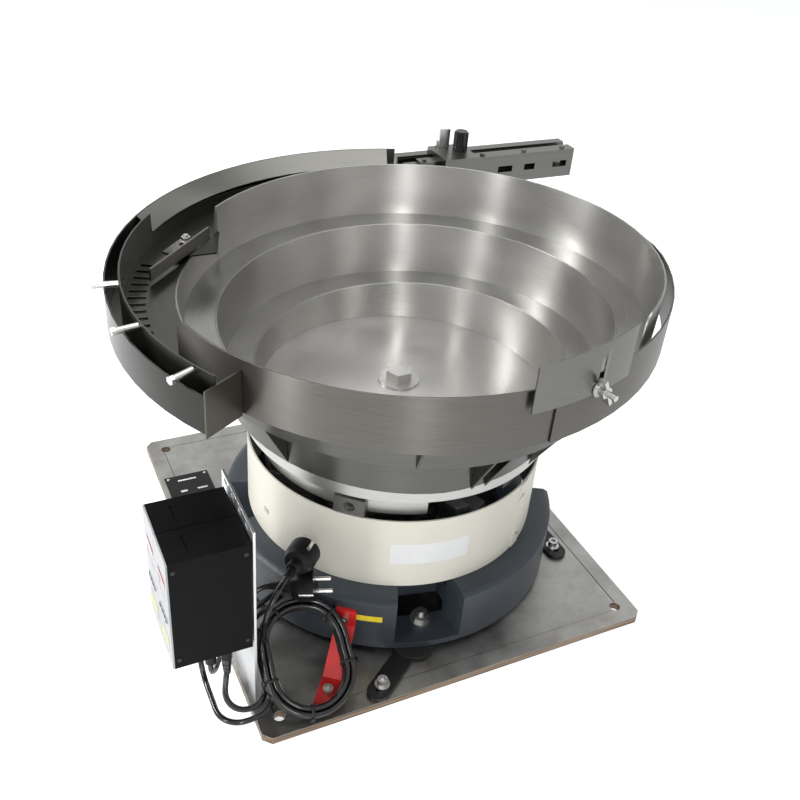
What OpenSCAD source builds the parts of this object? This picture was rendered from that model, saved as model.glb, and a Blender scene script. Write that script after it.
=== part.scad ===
// Vibratory bowl feeder: a stepped spiral bowl on leaf springs over an
// electromagnet, on a steel base plate, with two drive controllers, an outlet
// rail, a transport bracket and a coil of two mains leads.
// The drive axis is Z, the underside of the base plate is Z = 0, and X runs
// along the front edge of the plate.

/* [Base plate] */
// Width of the base plate, left to right
plate_w = 500; // [470:10:560]
// Depth of the base plate, front to back
plate_d = 558; // [520:10:620]
// Thickness of the base plate
plate_t = 10; // [8:1:16]
// Distance from the left and front edges to the drive axis
axis_inset = 258; // [250:1:265]
// Width of the cut corners of the plate
corner_cut = 9; // [4:1:16]
// Diameter of the four fixing holes
hole_d = 13; // [9:1:16]
// Distance from the plate edges to each fixing hole
hole_inset = 25; // [20:1:32]

/* [Drive casting] */
// Width of the casting's rim outside the shroud
cast_rim = 29; // [26:1:32]
// Height of the cast drive base
cast_h = 75; // [68:1:82]
// Gap between the base plate and the casting
cast_lift = 6; // [5:1:9]
// Width of each spring pocket along the rim
pocket_w = 84; // [70:2:96]
// Thickness of the ledge under each spring pocket
ledge_t = 10; // [8:1:14]
// Outer radius of the sheet shroud
shroud_r = 184; // [180:1:188]
// Height of the sheet shroud
shroud_h = 98; // [92:1:98]
// Thickness of the sheet shroud
shroud_t = 2; // [1.5:0.5:3]

/* [Feet] */
// Diameter of each rubber foot
foot_d = 50; // [42:1:56]
// Distance from the casting's edge in to each rubber foot
foot_inset = 10; // [8:1:12]
// Width of each slotted hold-down clamp
clamp_w = 26; // [22:1:32]
// Thickness of each slotted hold-down clamp
clamp_t = 5; // [4:1:5]

/* [Springs and magnet] */
// Distance from the drive axis to each spring pack
spring_r = 148; // [144:1:150]
// Width of one spring leaf
leaf_w = 40; // [32:1:46]
// Thickness of one spring leaf
leaf_t = 3; // [2:0.5:4]
// Number of leaves in each spring pack
leaf_n = 4; // [2:1:5]
// Lean of the spring packs from upright, in degrees
lean = 18; // [12:1:22]
// Air gap of the electromagnet
air_gap = 2; // [1.5:0.5:3]
// Gap between the shroud and the aluminium top plate
top_gap = 12; // [10:1:16]
// Thickness of the aluminium top plate
top_t = 22; // [18:1:24]
// Height of the underside of the top plate
top_z = 190; // [186:1:194]

/* [Bowl] */
// Wall thickness of the bowl sheet
sheet = 2; // [1.5:0.5:3]
// Radius of the track's outer edge at the back of the second turn
turn_r = 218.5; // [214:0.5:223]
// Growth of the track radius in one turn
turn_growth = 42.5; // [41:0.5:44]
// Height of the track at the back of the second turn
turn_z = 289; // [285:1:293]
// Rise of the track in one turn
turn_rise = 67.3; // [60:0.1:70]
// Width of the track
track_w = 36.5; // [33:0.5:38]
// Height of the topmost wall above its track
rim_h = 69.5; // [60:0.5:80]
// Skirt of each wall below its track
skirt = 16; // [10:1:20]
// Height of the outlet track
outlet_z = 376; // [372:1:378]
// Radius of the front band
band_r = 285; // [283:1:288]
// Height of the front band's lower edge
band_low = 361; // [354:1:364]
// Height of the front band's upper edge at the front
band_top = 427; // [420:1:436]

/* [Outlet] */
// Distance of the outlet guide wall outside the front band
guide_gap = 30; // [27:1:33]
// Height of the outlet guide wall's upper edge
guide_top = 419; // [412:1:426]
// Distance of the pan wall outside the guide wall, at the left
pan_gap = 15; // [13:1:19]
// Number of comb slots in the outlet track
comb_n = 13; // [8:1:16]
// Width of the outlet rail
rail_w = 45; // [38:1:50]
// Height of the outlet rail
rail_h = 42; // [36:1:46]
// Length of the outlet rail
rail_len = 280; // [240:5:340]
// Width of the channel along the outlet rail
rail_channel = 14; // [10:1:18]

/* [Gate] */
// Height of the sliding gate plate
gate_h = 58; // [50:1:64]
// Travel of the sliding gate plate
gate_travel = 20; // [10:1:24]
// Diameter of the gate stud
stud_d = 6; // [5:0.5:8]

/* [Controllers] */
// Depth of one controller, front panel to back
ctrl_d = 84; // [76:1:92]
// Width of one controller
ctrl_w = 46; // [42:1:48]
// Height of one controller
ctrl_h = 145; // [130:1:155]
// Height of the controllers above the base plate
ctrl_lift = 95; // [85:1:105]
// Thickness of the front panels
panel_t = 2; // [1:0.5:3]

/* [Mains leads] */
// Diameter of one mains lead
lead_d = 6.5; // [6:0.5:7.5]
// Width of the coil of leads
coil_w = 104; // [98:1:108]
// Length of the coil of leads
coil_l = 134; // [128:1:138]
// Diameter of a mains plug body
plug_d = 36; // [34:1:37]
// Spacing of the plug pins
pin_gap = 19; // [18:0.5:20]

/* [Hidden] */
fine = 96;
eps = 0.01;
deck = plate_t;
cast_r = shroud_r + cast_rim;
foot_r = cast_r - foot_inset;
top_r = shroud_r - top_gap;
guide_r = band_r + guide_gap;
pan_r = guide_r + pan_gap;
turn_deg = 360;
cast_z = deck + cast_lift;
cast_top = cast_z + cast_h;
shroud_z = cast_top;
shroud_top = shroud_z + shroud_h;
// Angles are measured anticlockwise from +X, seen from above
pocket_a = -101;
foot_a = -105;
spring_a = -68;
clamp_a = -131;
foot_count = 4;
step = 5;
// Progress along the spiral: 0 is the back of turn two, clockwise is positive
function ang(k) = 90 - 360 * k;
function turns(a) = (90 - a) / 360;
function lerp(a, b, t) = a + (b - a) * t;
function soft(t) = t <= 0 ? 0 : t >= 1 ? 1 : t * t * (3 - 2 * t);
// Turns at which the spiral starts, its wall ends, the track levels out, the
// outlet runs straight, and the full-height rim begins
spiral_start = -225 / 360;
spiral_end = 510 / 360;
ease_end = 620 / 360;
outlet_end = 720 / 360;
rim_start = 320 / 360;
function rise(k) = turn_z + turn_rise * k;
function track_z(k) = k <= spiral_end
    ? rise(k)
    : lerp(rise(spiral_end), outlet_z, soft((k - spiral_end) / (ease_end - spiral_end)));
function track_ro(k) = turn_r + turn_growth * k;
function track_ri(k) = track_ro(k) - track_w;
// Foot of a wall: outer edge of its own track; head: inner edge of the next
function head_r(k) = track_ro(k) + turn_growth - track_w;
function polar(r, a) = [r * cos(a), r * sin(a)];
function ks(a, b) = [for (i = [0 : ceil((b - a) * 360 / step)])
    min(b, a + i * step / 360)];

// Closed solid through a list of rings of equal length
module skin(rings) {
    n = len(rings[0]);
    m = len(rings);
    pts = [for (r = rings) each r];
    up = [for (i = [0 : m - 2], j = [0 : n - 1])
        [i * n + j, i * n + (j + 1) % n, (i + 1) * n + (j + 1) % n]];
    down = [for (i = [0 : m - 2], j = [0 : n - 1])
        [i * n + j, (i + 1) * n + (j + 1) % n, (i + 1) * n + j]];
    polyhedron(
        points = pts,
        faces = concat(
            [[for (j = [n - 1 : -1 : 0]) j]],
            up,
            down,
            [[for (j = [0 : n - 1]) (m - 1) * n + j]]
        ),
        convexity = 10
    );
}

function ring4(a, r0, z0, r1, z1, r2, z2, r3, z3) = [
    [r0 * cos(a), r0 * sin(a), z0],
    [r1 * cos(a), r1 * sin(a), z1],
    [r2 * cos(a), r2 * sin(a), z2],
    [r3 * cos(a), r3 * sin(a), z3]
];

// Leaning wall: foot radius and height, head radius and height, thickness
function wall_ring(a, rb, zb, rt, zt) =
    ring4(a, rb, zb, rb + sheet, zb, rt + sheet, zt, rt, zt);

// Flat strip of track from inner to outer radius
function strip_ring(a, ri, ro, z) =
    ring4(a, ri, z - sheet, ro, z - sheet, ro, z, ri, z);

module around(count, a0) {
    for (i = [0 : count - 1]) rotate([0, 0, a0 + i * 360 / count]) children();
}

module at_polar(r, a, z) {
    rotate([0, 0, a]) translate([r, 0, z]) children();
}

module hex_head(af, h) {
    cylinder(d = af / cos(30), h = h, $fn = 6);
}

// Socket head cap screw, head up, with its bearing face at Z = 0
module cap_screw(d, shank) {
    difference() {
        cylinder(d = 1.5 * d, h = d, $fn = 32);
        translate([0, 0, d * 0.45]) hex_head(0.8 * d, d);
    }
    if (shank > 0) translate([0, 0, -shank]) cylinder(d = d, h = shank + eps, $fn = 32);
}

module arc_sheet(r, t, h, a0, a1) {
    rotate([0, 0, min(a0, a1)])
        rotate_extrude(angle = abs(a1 - a0), $fn = 180)
            translate([r, 0]) square([t, h]);
}

module slot_2d(len, w) {
    translate([-len / 2, 0]) circle(d = w, $fn = 32);
    translate([len / 2, 0]) circle(d = w, $fn = 32);
    square([len, w], center = true);
}

// ---------------------------------------------------------------- base plate
hole_x = [-axis_inset + hole_inset, plate_w - axis_inset - hole_inset];
hole_y = [-axis_inset + hole_inset, plate_d - axis_inset - hole_inset];

module base_plate() {
    color("silver") difference() {
        translate([-axis_inset, -axis_inset, 0])
            linear_extrude(plate_t)
                polygon([
                    [corner_cut, 0],
                    [plate_w - corner_cut, 0],
                    [plate_w, corner_cut],
                    [plate_w, plate_d - corner_cut],
                    [plate_w - corner_cut, plate_d],
                    [corner_cut, plate_d],
                    [0, plate_d - corner_cut],
                    [0, corner_cut]
                ]);
        for (x = hole_x, y = hole_y)
            translate([x, y, -1]) cylinder(d = hole_d, h = plate_t + 2, $fn = 48);
    }
}

// ---------------------------------------------------------------------- feet
foot_bolt_d = 8;
// Direction of each clamp from its foot, and the distance to its bolt
clamp_dir = [-39, -73, -39, -73];
clamp_len = [74, 60, 74, 60];

module rubber_feet() {
    color("dimgray") around(foot_count, foot_a)
        translate([foot_r, 0, deck])
            rotate_extrude($fn = 64)
                polygon([
                    [0, 0],
                    [foot_d / 2 - 1, 0],
                    [foot_d / 2, 1],
                    [foot_d / 2, cast_lift - 1],
                    [foot_d / 2 - 1, cast_lift],
                    [0, cast_lift]
                ]);
}

module at_foot(i) {
    rotate([0, 0, foot_a + i * 360 / foot_count])
        translate([foot_r, 0, deck]) rotate([0, 0, clamp_dir[i]]) children();
}

// Slotted clamps that hug the rubber feet and are bolted to the plate
module foot_clamps() {
    color([0.08, 0.08, 0.08]) for (i = [0 : foot_count - 1])
        at_foot(i) difference() {
            linear_extrude(clamp_t)
                translate([clamp_len[i] / 2 + 6, 0]) slot_2d(clamp_len[i] + 6, clamp_w);
            translate([0, 0, -1]) cylinder(d = foot_d + 0.2, h = clamp_t + 2, $fn = 64);
            translate([clamp_len[i], 0, -1])
                linear_extrude(clamp_t + 2) slot_2d(14, foot_bolt_d + 1);
        }
}

module clamp_bolts() {
    color("lightgray") for (i = [0 : foot_count - 1])
        at_foot(i) translate([clamp_len[i], 0, clamp_t]) {
            difference() {
                cylinder(d = 2.2 * foot_bolt_d, h = 2, $fn = 32);
                translate([0, 0, -1]) cylinder(d = foot_bolt_d, h = 4, $fn = 32);
            }
            translate([0, 0, 2]) cap_screw(foot_bolt_d, clamp_t + 2);
        }
}

// ------------------------------------------------------------- drive casting
pocket_count = 4;
cast_floor_t = 14;
cast_bore_r = 70;
pocket_depth = cast_r - shroud_r + 34;

module drive_casting() {
    color([0.24, 0.27, 0.30]) difference() {
        translate([0, 0, cast_z])
            rotate_extrude($fn = 180)
                polygon([
                    [cast_bore_r, 0],
                    [cast_r - 2, 0],
                    [cast_r, 2],
                    [cast_r, cast_h - 5],
                    [cast_r - 6, cast_h - 1],
                    [shroud_r + 2, cast_h],
                    [shroud_r - 12, cast_h],
                    [shroud_r - 12, cast_h - 24],
                    [cast_bore_r, cast_h - 24]
                ]);
        around(pocket_count, pocket_a)
            translate([cast_r, 0, cast_z + ledge_t])
                linear_extrude(cast_h)
                    polygon([
                        [4, pocket_w / 2],
                        [-pocket_depth, pocket_w / 2 - 16],
                        [-pocket_depth, -pocket_w / 2 + 16],
                        [4, -pocket_w / 2]
                    ]);
        translate([0, 0, cast_z - 1])
            difference() {
                cylinder(r = foot_r - foot_d / 2 - 8, h = 26, $fn = 96);
                translate([0, 0, -1]) cylinder(r = cast_bore_r + 18, h = 28, $fn = 96);
            }
    }
}

nut_r = cast_r - pocket_depth + 28;

module pocket_bolts() {
    color("silver") around(pocket_count, pocket_a)
        translate([nut_r, 0, cast_z + ledge_t]) {
            cylinder(d = 26, h = 2.5, $fn = 32);
            translate([0, 0, 2.5]) hex_head(17, 9);
            translate([0, 0, 11.5]) cylinder(d = 10, h = 5, $fn = 32);
        }
}

// -------------------------------------------------------------------- shroud
seam_a = -59.5;

module shroud() {
    color([0.87, 0.86, 0.80]) {
        difference() {
            translate([0, 0, shroud_z])
                rotate_extrude($fn = 180)
                    translate([shroud_r - shroud_t, 0]) square([shroud_t, shroud_h]);
            for (z = seam_rows)
                at_polar(shroud_r - shroud_t - 1, seam_a + 2, shroud_z + z)
                    rotate([0, 90, 0]) cylinder(d = 4, h = shroud_t + 2, $fn = 24);
        }
        rotate([0, 0, seam_a - 1])
            translate([0, 0, shroud_z + eps])
                rotate_extrude(angle = 5, $fn = 180)
                    difference() {
                        translate([shroud_r - eps, 0]) square([1.2, shroud_h - 2 * eps]);
                        for (z = seam_rows)
                            translate([shroud_r - 1, z - 2.4]) square([4, 4.8]);
                    }
    }
}
seam_rows = [18, shroud_h - 20];

module shroud_screws() {
    color("lightgray") for (z = seam_rows)
        at_polar(shroud_r - shroud_t, seam_a + 2, shroud_z + z)
            rotate([0, 90, 0]) {
                cylinder(d = 3.9, h = shroud_t + 0.2, $fn = 24);
                translate([0, 0, shroud_t + 0.2]) cylinder(d = 4.6, h = 2.2, $fn = 24);
            }
}

// ---------------------------------------------------- springs and the magnet
spring_count = 4;
head_z = top_z;
spring_base = cast_top - 24;
foot_block = 26;
head_block = 26;
pack_t = leaf_n * leaf_t + (leaf_n - 1) * leaf_t;
spring_gap = 0.5;
spring_z0 = spring_base + 4;
spring_z1 = head_z - 4;
spring_len = (spring_z1 - spring_z0) / cos(lean);

// Frame of a spring pack: its foot sits on the casting, leaning round the axis
module spring_frame() {
    around(spring_count, spring_a)
        translate([spring_r, 0, spring_z0 - 0])
            rotate([lean, 0, 0]) children();
}

module leaf(i) {
    translate([-leaf_w / 2, (2 * i) * leaf_t - pack_t / 2, 6])
        cube([leaf_w, leaf_t, spring_len - 12]);
}

module spacer(z) {
    for (i = [0 : leaf_n - 2])
        translate([-leaf_w / 2, (2 * i + 1) * leaf_t - pack_t / 2, z])
            cube([leaf_w, leaf_t, foot_block - 10]);
}

module spring_packs() {
    color([0.13, 0.14, 0.15]) spring_frame() {
        for (i = [0 : leaf_n - 1]) leaf(i);
        spacer(6);
        spacer(spring_len - 6 - (foot_block - 10));
    }
}

block_t = 16;

module spring_feet() {
    color([0.24, 0.27, 0.30]) intersection() {
        spring_frame()
            translate([-leaf_w / 2, pack_t / 2, -20])
                cube([leaf_w, block_t, foot_block + 20]);
        translate([0, 0, spring_base]) cylinder(r = top_r - 1, h = top_z - spring_base, $fn = 96);
    }
}

module spring_heads() {
    color("silver") intersection() {
        spring_frame()
            translate([-leaf_w / 2, -pack_t / 2 - block_t - spring_gap, spring_len - head_block])
                cube([leaf_w, block_t, head_block + 30]);
        cylinder(r = top_r - 1, h = head_z, $fn = 96);
    }
}

core_w = 70;
core_d = 50;
coil_z = spring_base;
armature_t = 20;
armature_z = head_z - armature_t;
core_top = armature_z - air_gap;

module magnet_core() {
    color([0.35, 0.36, 0.38]) difference() {
        translate([-core_w / 2, -core_d / 2, cast_z + 40])
            cube([core_w, core_d, core_top - cast_z - 40]);
        for (s = [-1, 1])
            translate([s * core_w / 4 - 8, -core_d / 2 - 1, coil_z + 24])
                cube([16, core_d + 2, core_top - coil_z]);
    }
    color([0.35, 0.36, 0.38])
        translate([-cast_bore_r - 12, -core_d / 2 - 8, spring_base])
            cube([2 * cast_bore_r + 24, core_d + 16, 10]);
}

module magnet_coil() {
    color([0.45, 0.20, 0.10]) difference() {
        translate([-core_w / 4 - 7, -core_d / 2 - 18, coil_z + 26])
            cube([core_w / 2 + 14, core_d + 36, 44]);
        translate([-core_w / 4 + 8, -core_d / 2, coil_z + 20])
            cube([core_w / 2 - 16, core_d, 60]);
    }
}

module armature() {
    color([0.35, 0.36, 0.38])
        translate([-core_w / 2 - 5, -core_d / 2 - 5, armature_z])
            cube([core_w + 10, core_d + 10, armature_t]);
}

// --------------------------------------------------------- transport bracket
bracket_a = -127.5;
bracket_w = 24;
bracket_t = 4;
bracket_foot_r = 285;
bracket_tab_z = 52;

module transport_bracket() {
    run = bracket_foot_r - cast_r;
    color([0.78, 0.10, 0.10]) rotate([0, 0, bracket_a]) {
        difference() {
            rotate([90, 0, 0])
                translate([0, 0, -bracket_w / 2])
                    linear_extrude(bracket_w)
                        polygon([
                            [cast_r, bracket_tab_z],
                            [cast_r, bracket_tab_z + 24],
                            [cast_r + bracket_t, bracket_tab_z + 24],
                            [cast_r + bracket_t, bracket_tab_z],
                            [cast_r + run * 0.72, deck + bracket_t],
                            [bracket_foot_r + 16, deck + bracket_t],
                            [bracket_foot_r + 16, deck],
                            [cast_r + run * 0.66, deck]
                        ]);
            translate([bracket_foot_r, 0, deck - 1]) cylinder(d = 9, h = bracket_t + 2, $fn = 32);
            translate([cast_r - 1, 0, bracket_tab_z + 13])
                rotate([0, 90, 0]) cylinder(d = 7, h = bracket_t + 2, $fn = 32);
        }
    }
}

module transport_bolts() {
    color("lightgray") rotate([0, 0, bracket_a]) {
        translate([bracket_foot_r, 0, deck + bracket_t])
            cap_screw(8, bracket_t);
        translate([cast_r + bracket_t, 0, bracket_tab_z + 13])
            rotate([0, 90, 0]) cap_screw(6, bracket_t);
    }
}

plate_label_w = 62;
plate_label_d = 54;
plate_label_y = 154;

module data_plate() {
    color("black")
        translate([-axis_inset + 6, plate_label_y, deck])
            cube([plate_label_w, plate_label_d, 1]);
}

// --------------------------------------------------------------- controllers
wall_x = -axis_inset + 6;
wall_t = 3;
ctrl_y0 = -209;
ctrl_gap = 1;
ctrl_z = deck + ctrl_lift;
ctrl_x1 = wall_x - 2;
ctrl_x0 = ctrl_x1 - ctrl_d;
wall_y1 = ctrl_y0 + 2 * ctrl_w + ctrl_gap + 14;
wall_y0 = ctrl_y0 + 2;
wall_top = ctrl_z + ctrl_h + 12;
slot_rows = [18, 42, 66, 90];
out_y = -132;
out_w = 32;
out_z = 48;
out_d = 6;

module controller_bracket() {
    color("silver") {
        difference() {
            translate([wall_x, wall_y0, deck])
                cube([wall_t, wall_y1 - wall_y0, wall_top - deck]);
            for (y = slot_rows)
                translate([wall_x - 1, wall_y0 + y - 4, wall_top - 9])
                    cube([wall_t + 2, 10, 5]);
            // Window for the output leads
            translate([wall_x - 1, out_y - out_w / 2, out_z - 10])
                cube([wall_t + 2, out_w, 20]);
        }
        translate([wall_x, wall_y0, deck]) cube([34, wall_y1 - wall_y0, wall_t]);
        for (y = [8, wall_y1 - wall_y0 - 14])
            translate([wall_x - 2, wall_y0 + y, ctrl_z + ctrl_h / 2 - 40])
                cube([2, 8, 80]);
    }
}

module controller(y) {
    r = 3;
    color([0.08, 0.08, 0.09])
        translate([ctrl_x0 + panel_t, y, ctrl_z])
            difference() {
                cube([ctrl_d - panel_t, ctrl_w, ctrl_h]);
                for (z = [-1, ctrl_h - 1.2])
                    translate([ctrl_d / 2 - 20, ctrl_w / 2 - 12, z]) cube([2, 24, 2.2]);
                for (g = glands)
                    translate([g[0] - ctrl_x0 - panel_t, g[1] - y, -1])
                        cylinder(d = gland_bore, h = 9, $fn = 32);
            }
}

gland_d = 12;
gland_h = 16;
gland_bore = 8;
gland_x = ctrl_x0 + ctrl_d / 2;
gland_step = 17;
near_y = ctrl_y0;
far_y = ctrl_y0 + ctrl_w + ctrl_gap;
// Output and mains gland of the near controller, mains and output of the far
glands = [
    [gland_x - 1, near_y + 10],
    [gland_x - 1 + gland_step, near_y + 10],
    [gland_x, far_y + ctrl_w / 2],
    [gland_x + gland_step, far_y + ctrl_w / 2]
];
gland_end = ctrl_z - gland_h;

module controller_near() { controller(near_y); }
module controller_far() { controller(far_y); }

// Front panel with its display window and keys standing proud
module panel(y) {
    color([0.78, 0.78, 0.78]) translate([ctrl_x0, y, ctrl_z]) {
        difference() {
            cube([panel_t, ctrl_w, ctrl_h]);
            translate([-1, 9, ctrl_h * 0.60]) cube([1.6, ctrl_w - 18, 30]);
        }
        for (i = [0 : 3])
            translate([-1, 9 + i * 8, ctrl_h * 0.40]) cube([1 + eps, 5, 5]);
        translate([-0.6, 8, ctrl_h * 0.12]) cube([0.6 + eps, ctrl_w - 16, 22]);
    }
}

module control_panels() {
    panel(near_y);
    panel(far_y);
}

module cable_glands() {
    color([0.1, 0.1, 0.1]) for (g = glands)
        translate([g[0], g[1], ctrl_z]) {
            translate([0, 0, -4]) hex_head(gland_d + 2, 4);
            translate([0, 0, -gland_h]) cylinder(d = gland_d, h = gland_h, $fn = 32);
            cylinder(d = gland_bore, h = 8, $fn = 32);
        }
}

// --------------------------------------------------------------- mains leads
coil_pa = -133.59;
coil_a = 87;
coil_lean = 31.5;
coil_section_r = 28;
coil_section_t = 17;
coil_off = 63.59;
// The coil's foot is on the plate and it leans on the transport bracket's bolt
coil_c = [
    (cast_r + coil_off) * cos(coil_pa),
    (cast_r + coil_off) * sin(coil_pa),
    deck + coil_l / 2 * sin(coil_lean) + coil_section_t / 2 * cos(coil_lean)
];

// Frame of the leaning coil: X up its length, Y to the left, Z out of it
module coil_frame() {
    translate(coil_c) rotate([0, -coil_lean, coil_a]) children();
}

// Point in the coil's frame, seen in the part's
function coil_pt(x, y, h) = coil_c
    + x * [cos(coil_a) * cos(coil_lean), sin(coil_a) * cos(coil_lean), sin(coil_lean)]
    + y * [-sin(coil_a), cos(coil_a), 0]
    + h * [-cos(coil_a) * sin(coil_lean), -sin(coil_a) * sin(coil_lean), cos(coil_lean)];

coil_straight = coil_l - coil_w;

module coil_outline(w) {
    for (s = [-1, 1]) translate([s * coil_straight / 2, 0]) circle(d = w, $fn = 72);
    square([coil_straight, w], center = true);
}

module mains_coil() {
    color([0.06, 0.06, 0.06]) coil_frame()
        translate([0, 0, -coil_section_t / 2])
            linear_extrude(coil_section_t) difference() {
                coil_outline(coil_w);
                coil_outline(coil_w - 2 * coil_section_r);
            }
}

// Angle of each tie round the end of the coil it is on
tie_angles = [29, 99, 168.5, -92, -56];
tie_t = 1.2;

module coil_ties() {
    color([0.12, 0.12, 0.12]) difference() {
        coil_frame() for (a = tie_angles)
            translate([cos(a) > 0 ? coil_straight / 2 : -coil_straight / 2, 0, 0])
                rotate([0, 0, a])
                    translate([coil_w / 2 - coil_section_r / 2, 0, 0])
                        rotate([90, 0, 0])
                            translate([0, 0, -2])
                                linear_extrude(4) difference() {
                                    square([
                                        coil_section_r + 2 * tie_t,
                                        coil_section_t + 2 * tie_t
                                    ], center = true);
                                    square([coil_section_r, coil_section_t], center = true);
                                }
        // Flush where the coil stands on the plate
        translate([-2 * cast_r, -2 * cast_r, deck - 20]) cube([2 * cast_r, 2 * cast_r, 20]);
    }
}

// Sweep of a round lead along hand-placed points
function unit(v) = v / norm(v);
function tangent(p, i) =
    unit(p[min(i + 1, len(p) - 1)] - p[max(i - 1, 0)]);
function side_of(t) = norm(cross(t, [0, 0, 1])) > 0.3
    ? unit(cross(t, [0, 0, 1])) : unit(cross(t, [0, 1, 0]));
function carry(p, i) = i == 0
    ? side_of(tangent(p, 0))
    : let (s = carry(p, i - 1), t = tangent(p, i)) unit(s - t * (s * t));

module lead(path, d) {
    sides = 8;
    skin([for (i = [0 : len(path) - 1])
        let (t = tangent(path, i), u = carry(path, i), v = cross(t, u))
        [for (j = [0 : sides - 1])
            path[i] + (u * cos(360 * j / sides) + v * sin(360 * j / sides)) * d / 2]]);
}

// Points between the hand-placed ones, on a smooth curve through them
function spline_at(p, i, t) =
    let (
        a = p[max(i - 1, 0)], b = p[i], c = p[i + 1], d = p[min(i + 2, len(p) - 1)]
    )
    0.5 * ((2 * b) + (c - a) * t + (2 * a - 5 * b + 4 * c - d) * t * t
        + (3 * b - a - 3 * c + d) * t * t * t);
function smooth_path(p, n) = concat(
    [for (i = [0 : len(p) - 2], j = [0 : n - 1]) spline_at(p, i, j / n)],
    [p[len(p) - 1]]
);

coil_skin = coil_w / 2 + 1.5;
near_route = [
    [glands[1][0], glands[1][1], gland_end],
    [glands[1][0], glands[1][1] - 1, gland_end - 16],
    [-281, -208, 58],
    [-275, -216, 46],
    [-264, -220, 44],
    [-251, -219.5, 52],
    coil_pt(-10, coil_skin + 0.4, 8),
    coil_pt(6, coil_skin, 8)
];
far_route = [
    [glands[2][0], glands[2][1], gland_end],
    [glands[2][0], glands[2][1] - 1, gland_end - 30],
    [-295, -144, 34],
    [-297, -160, 21],
    [-296, -180, 21.5],
    [-289, -199, 27],
    [-276, -211, 32],
    [-262, -217.5, 37],
    [-247.5, -216, 46],
    coil_pt(-10, coil_skin + 0.2, 0),
    coil_pt(6, coil_skin, 0)
];
// Output leads: from each controller through the bracket into the casting
near_output = [
    [glands[0][0], glands[0][1], gland_end],
    [glands[0][0], glands[0][1] + 2, gland_end - 14],
    [-290, -186, 58],
    [-276, -162, 50],
    [-251, -140, out_z],
    [-222, -122, out_z + 2],
    polar(cast_r - 2, -151)
];
far_output = [
    [glands[3][0], glands[3][1], gland_end],
    [glands[3][0] + 1, glands[3][1] + 1, gland_end - 14],
    [-272, -134, 60],
    [-251, -126, out_z],
    [-222, -110, out_z + 2],
    polar(cast_r - 2, -153.5)
];
function raised(p, z) = [for (q = p) len(q) == 2 ? [q[0], q[1], z] : q];

module output_leads() {
    color([0.06, 0.06, 0.06]) {
        lead(smooth_path(raised(near_output, out_z + 4), 2), out_d);
        lead(smooth_path(raised(far_output, out_z + 4), 2), out_d);
    }
}

pin_d = 4.8;
pin_len = 19;
plug_h = 26;

// Round mains plug along +Z, pins at the top
module plug_body() {
    difference() {
        union() {
            rotate_extrude($fn = 64)
                polygon([
                    [0, 0],
                    [plug_d / 2 - 4, 0],
                    [plug_d / 2, 8],
                    [plug_d / 2, plug_h - 1],
                    [plug_d / 2 - 1, plug_h],
                    [0, plug_h]
                ]);
            translate([0, 0, -12]) cylinder(d = 16, h = 14, $fn = 32);
            translate([0, 0, -26]) cylinder(d = 11, h = 16, $fn = 32);
        }
        for (s = [-1, 1])
            translate([-3, s * (plug_d / 2) - 1.5, plug_h - 18]) cube([6, 3, 20]);
    }
    for (s = [-1, 1])
        translate([s * pin_gap / 2, 0, plug_h - eps]) cylinder(d = pin_d, h = pin_len, $fn = 24);
}

lower_plug = [-175.8, -150.9, 111.8];
upper_plug = [-177, -143, 148.8];
lower_turn = [0, 67, -51];
upper_turn = [0, 82.7, 31];
lower_spin = 0;
upper_spin = -69;

// Point on a plug's axis, in the plug's own frame turned into the part's
function turned(v, turn) =
    let (
        c1 = cos(turn[1]), s1 = sin(turn[1]), c2 = cos(turn[2]), s2 = sin(turn[2]),
        x = v * s1, z = v * c1
    )
    [x * c2, x * s2, z];
tail_v = -plug_h / 2 - 26;
lower_tail = lower_plug + turned(tail_v, lower_turn);
upper_tail = upper_plug + turned(tail_v, upper_turn);
lower_route = [
    lower_tail + turned(3, lower_turn),
    lower_tail + turned(-9, lower_turn),
    [-211, -107, 89.5],
    [-226, -108.5, 87],
    [-236, -121, 84],
    [-239.5, -139, 80],
    [-240, -157, 73],
    coil_pt(27, coil_skin + 0.5, -1),
    coil_pt(13, coil_skin - 0.5, -1)
];
upper_route = [
    upper_tail + turned(3, upper_turn),
    upper_tail + turned(-9, upper_turn),
    [-230, -171, 138],
    [-239, -167, 126],
    [-242, -161, 111],
    [-241.5, -159, 96],
    [-240.5, -165, 82],
    coil_pt(27, coil_skin + 0.5, 7),
    coil_pt(13, coil_skin - 0.5, 7)
];

module mains_lead_near() {
    color([0.06, 0.06, 0.06]) {
        lead(smooth_path(near_route, 2), lead_d);
        lead(upper_route, lead_d);
    }
}

module mains_lead_far() {
    color([0.06, 0.06, 0.06]) {
        lead(far_route, lead_d);
        lead(lower_route, lead_d);
    }
}

module mains_plug_lower() {
    color([0.08, 0.08, 0.08])
        translate(lower_plug) rotate(lower_turn)
            translate([0, 0, -plug_h / 2]) rotate([0, 0, lower_spin]) plug_body();
}

module mains_plug_upper() {
    color([0.08, 0.08, 0.08])
        translate(upper_plug) rotate(upper_turn)
            translate([0, 0, -plug_h / 2]) rotate([0, 0, upper_spin]) plug_body();
}

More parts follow.
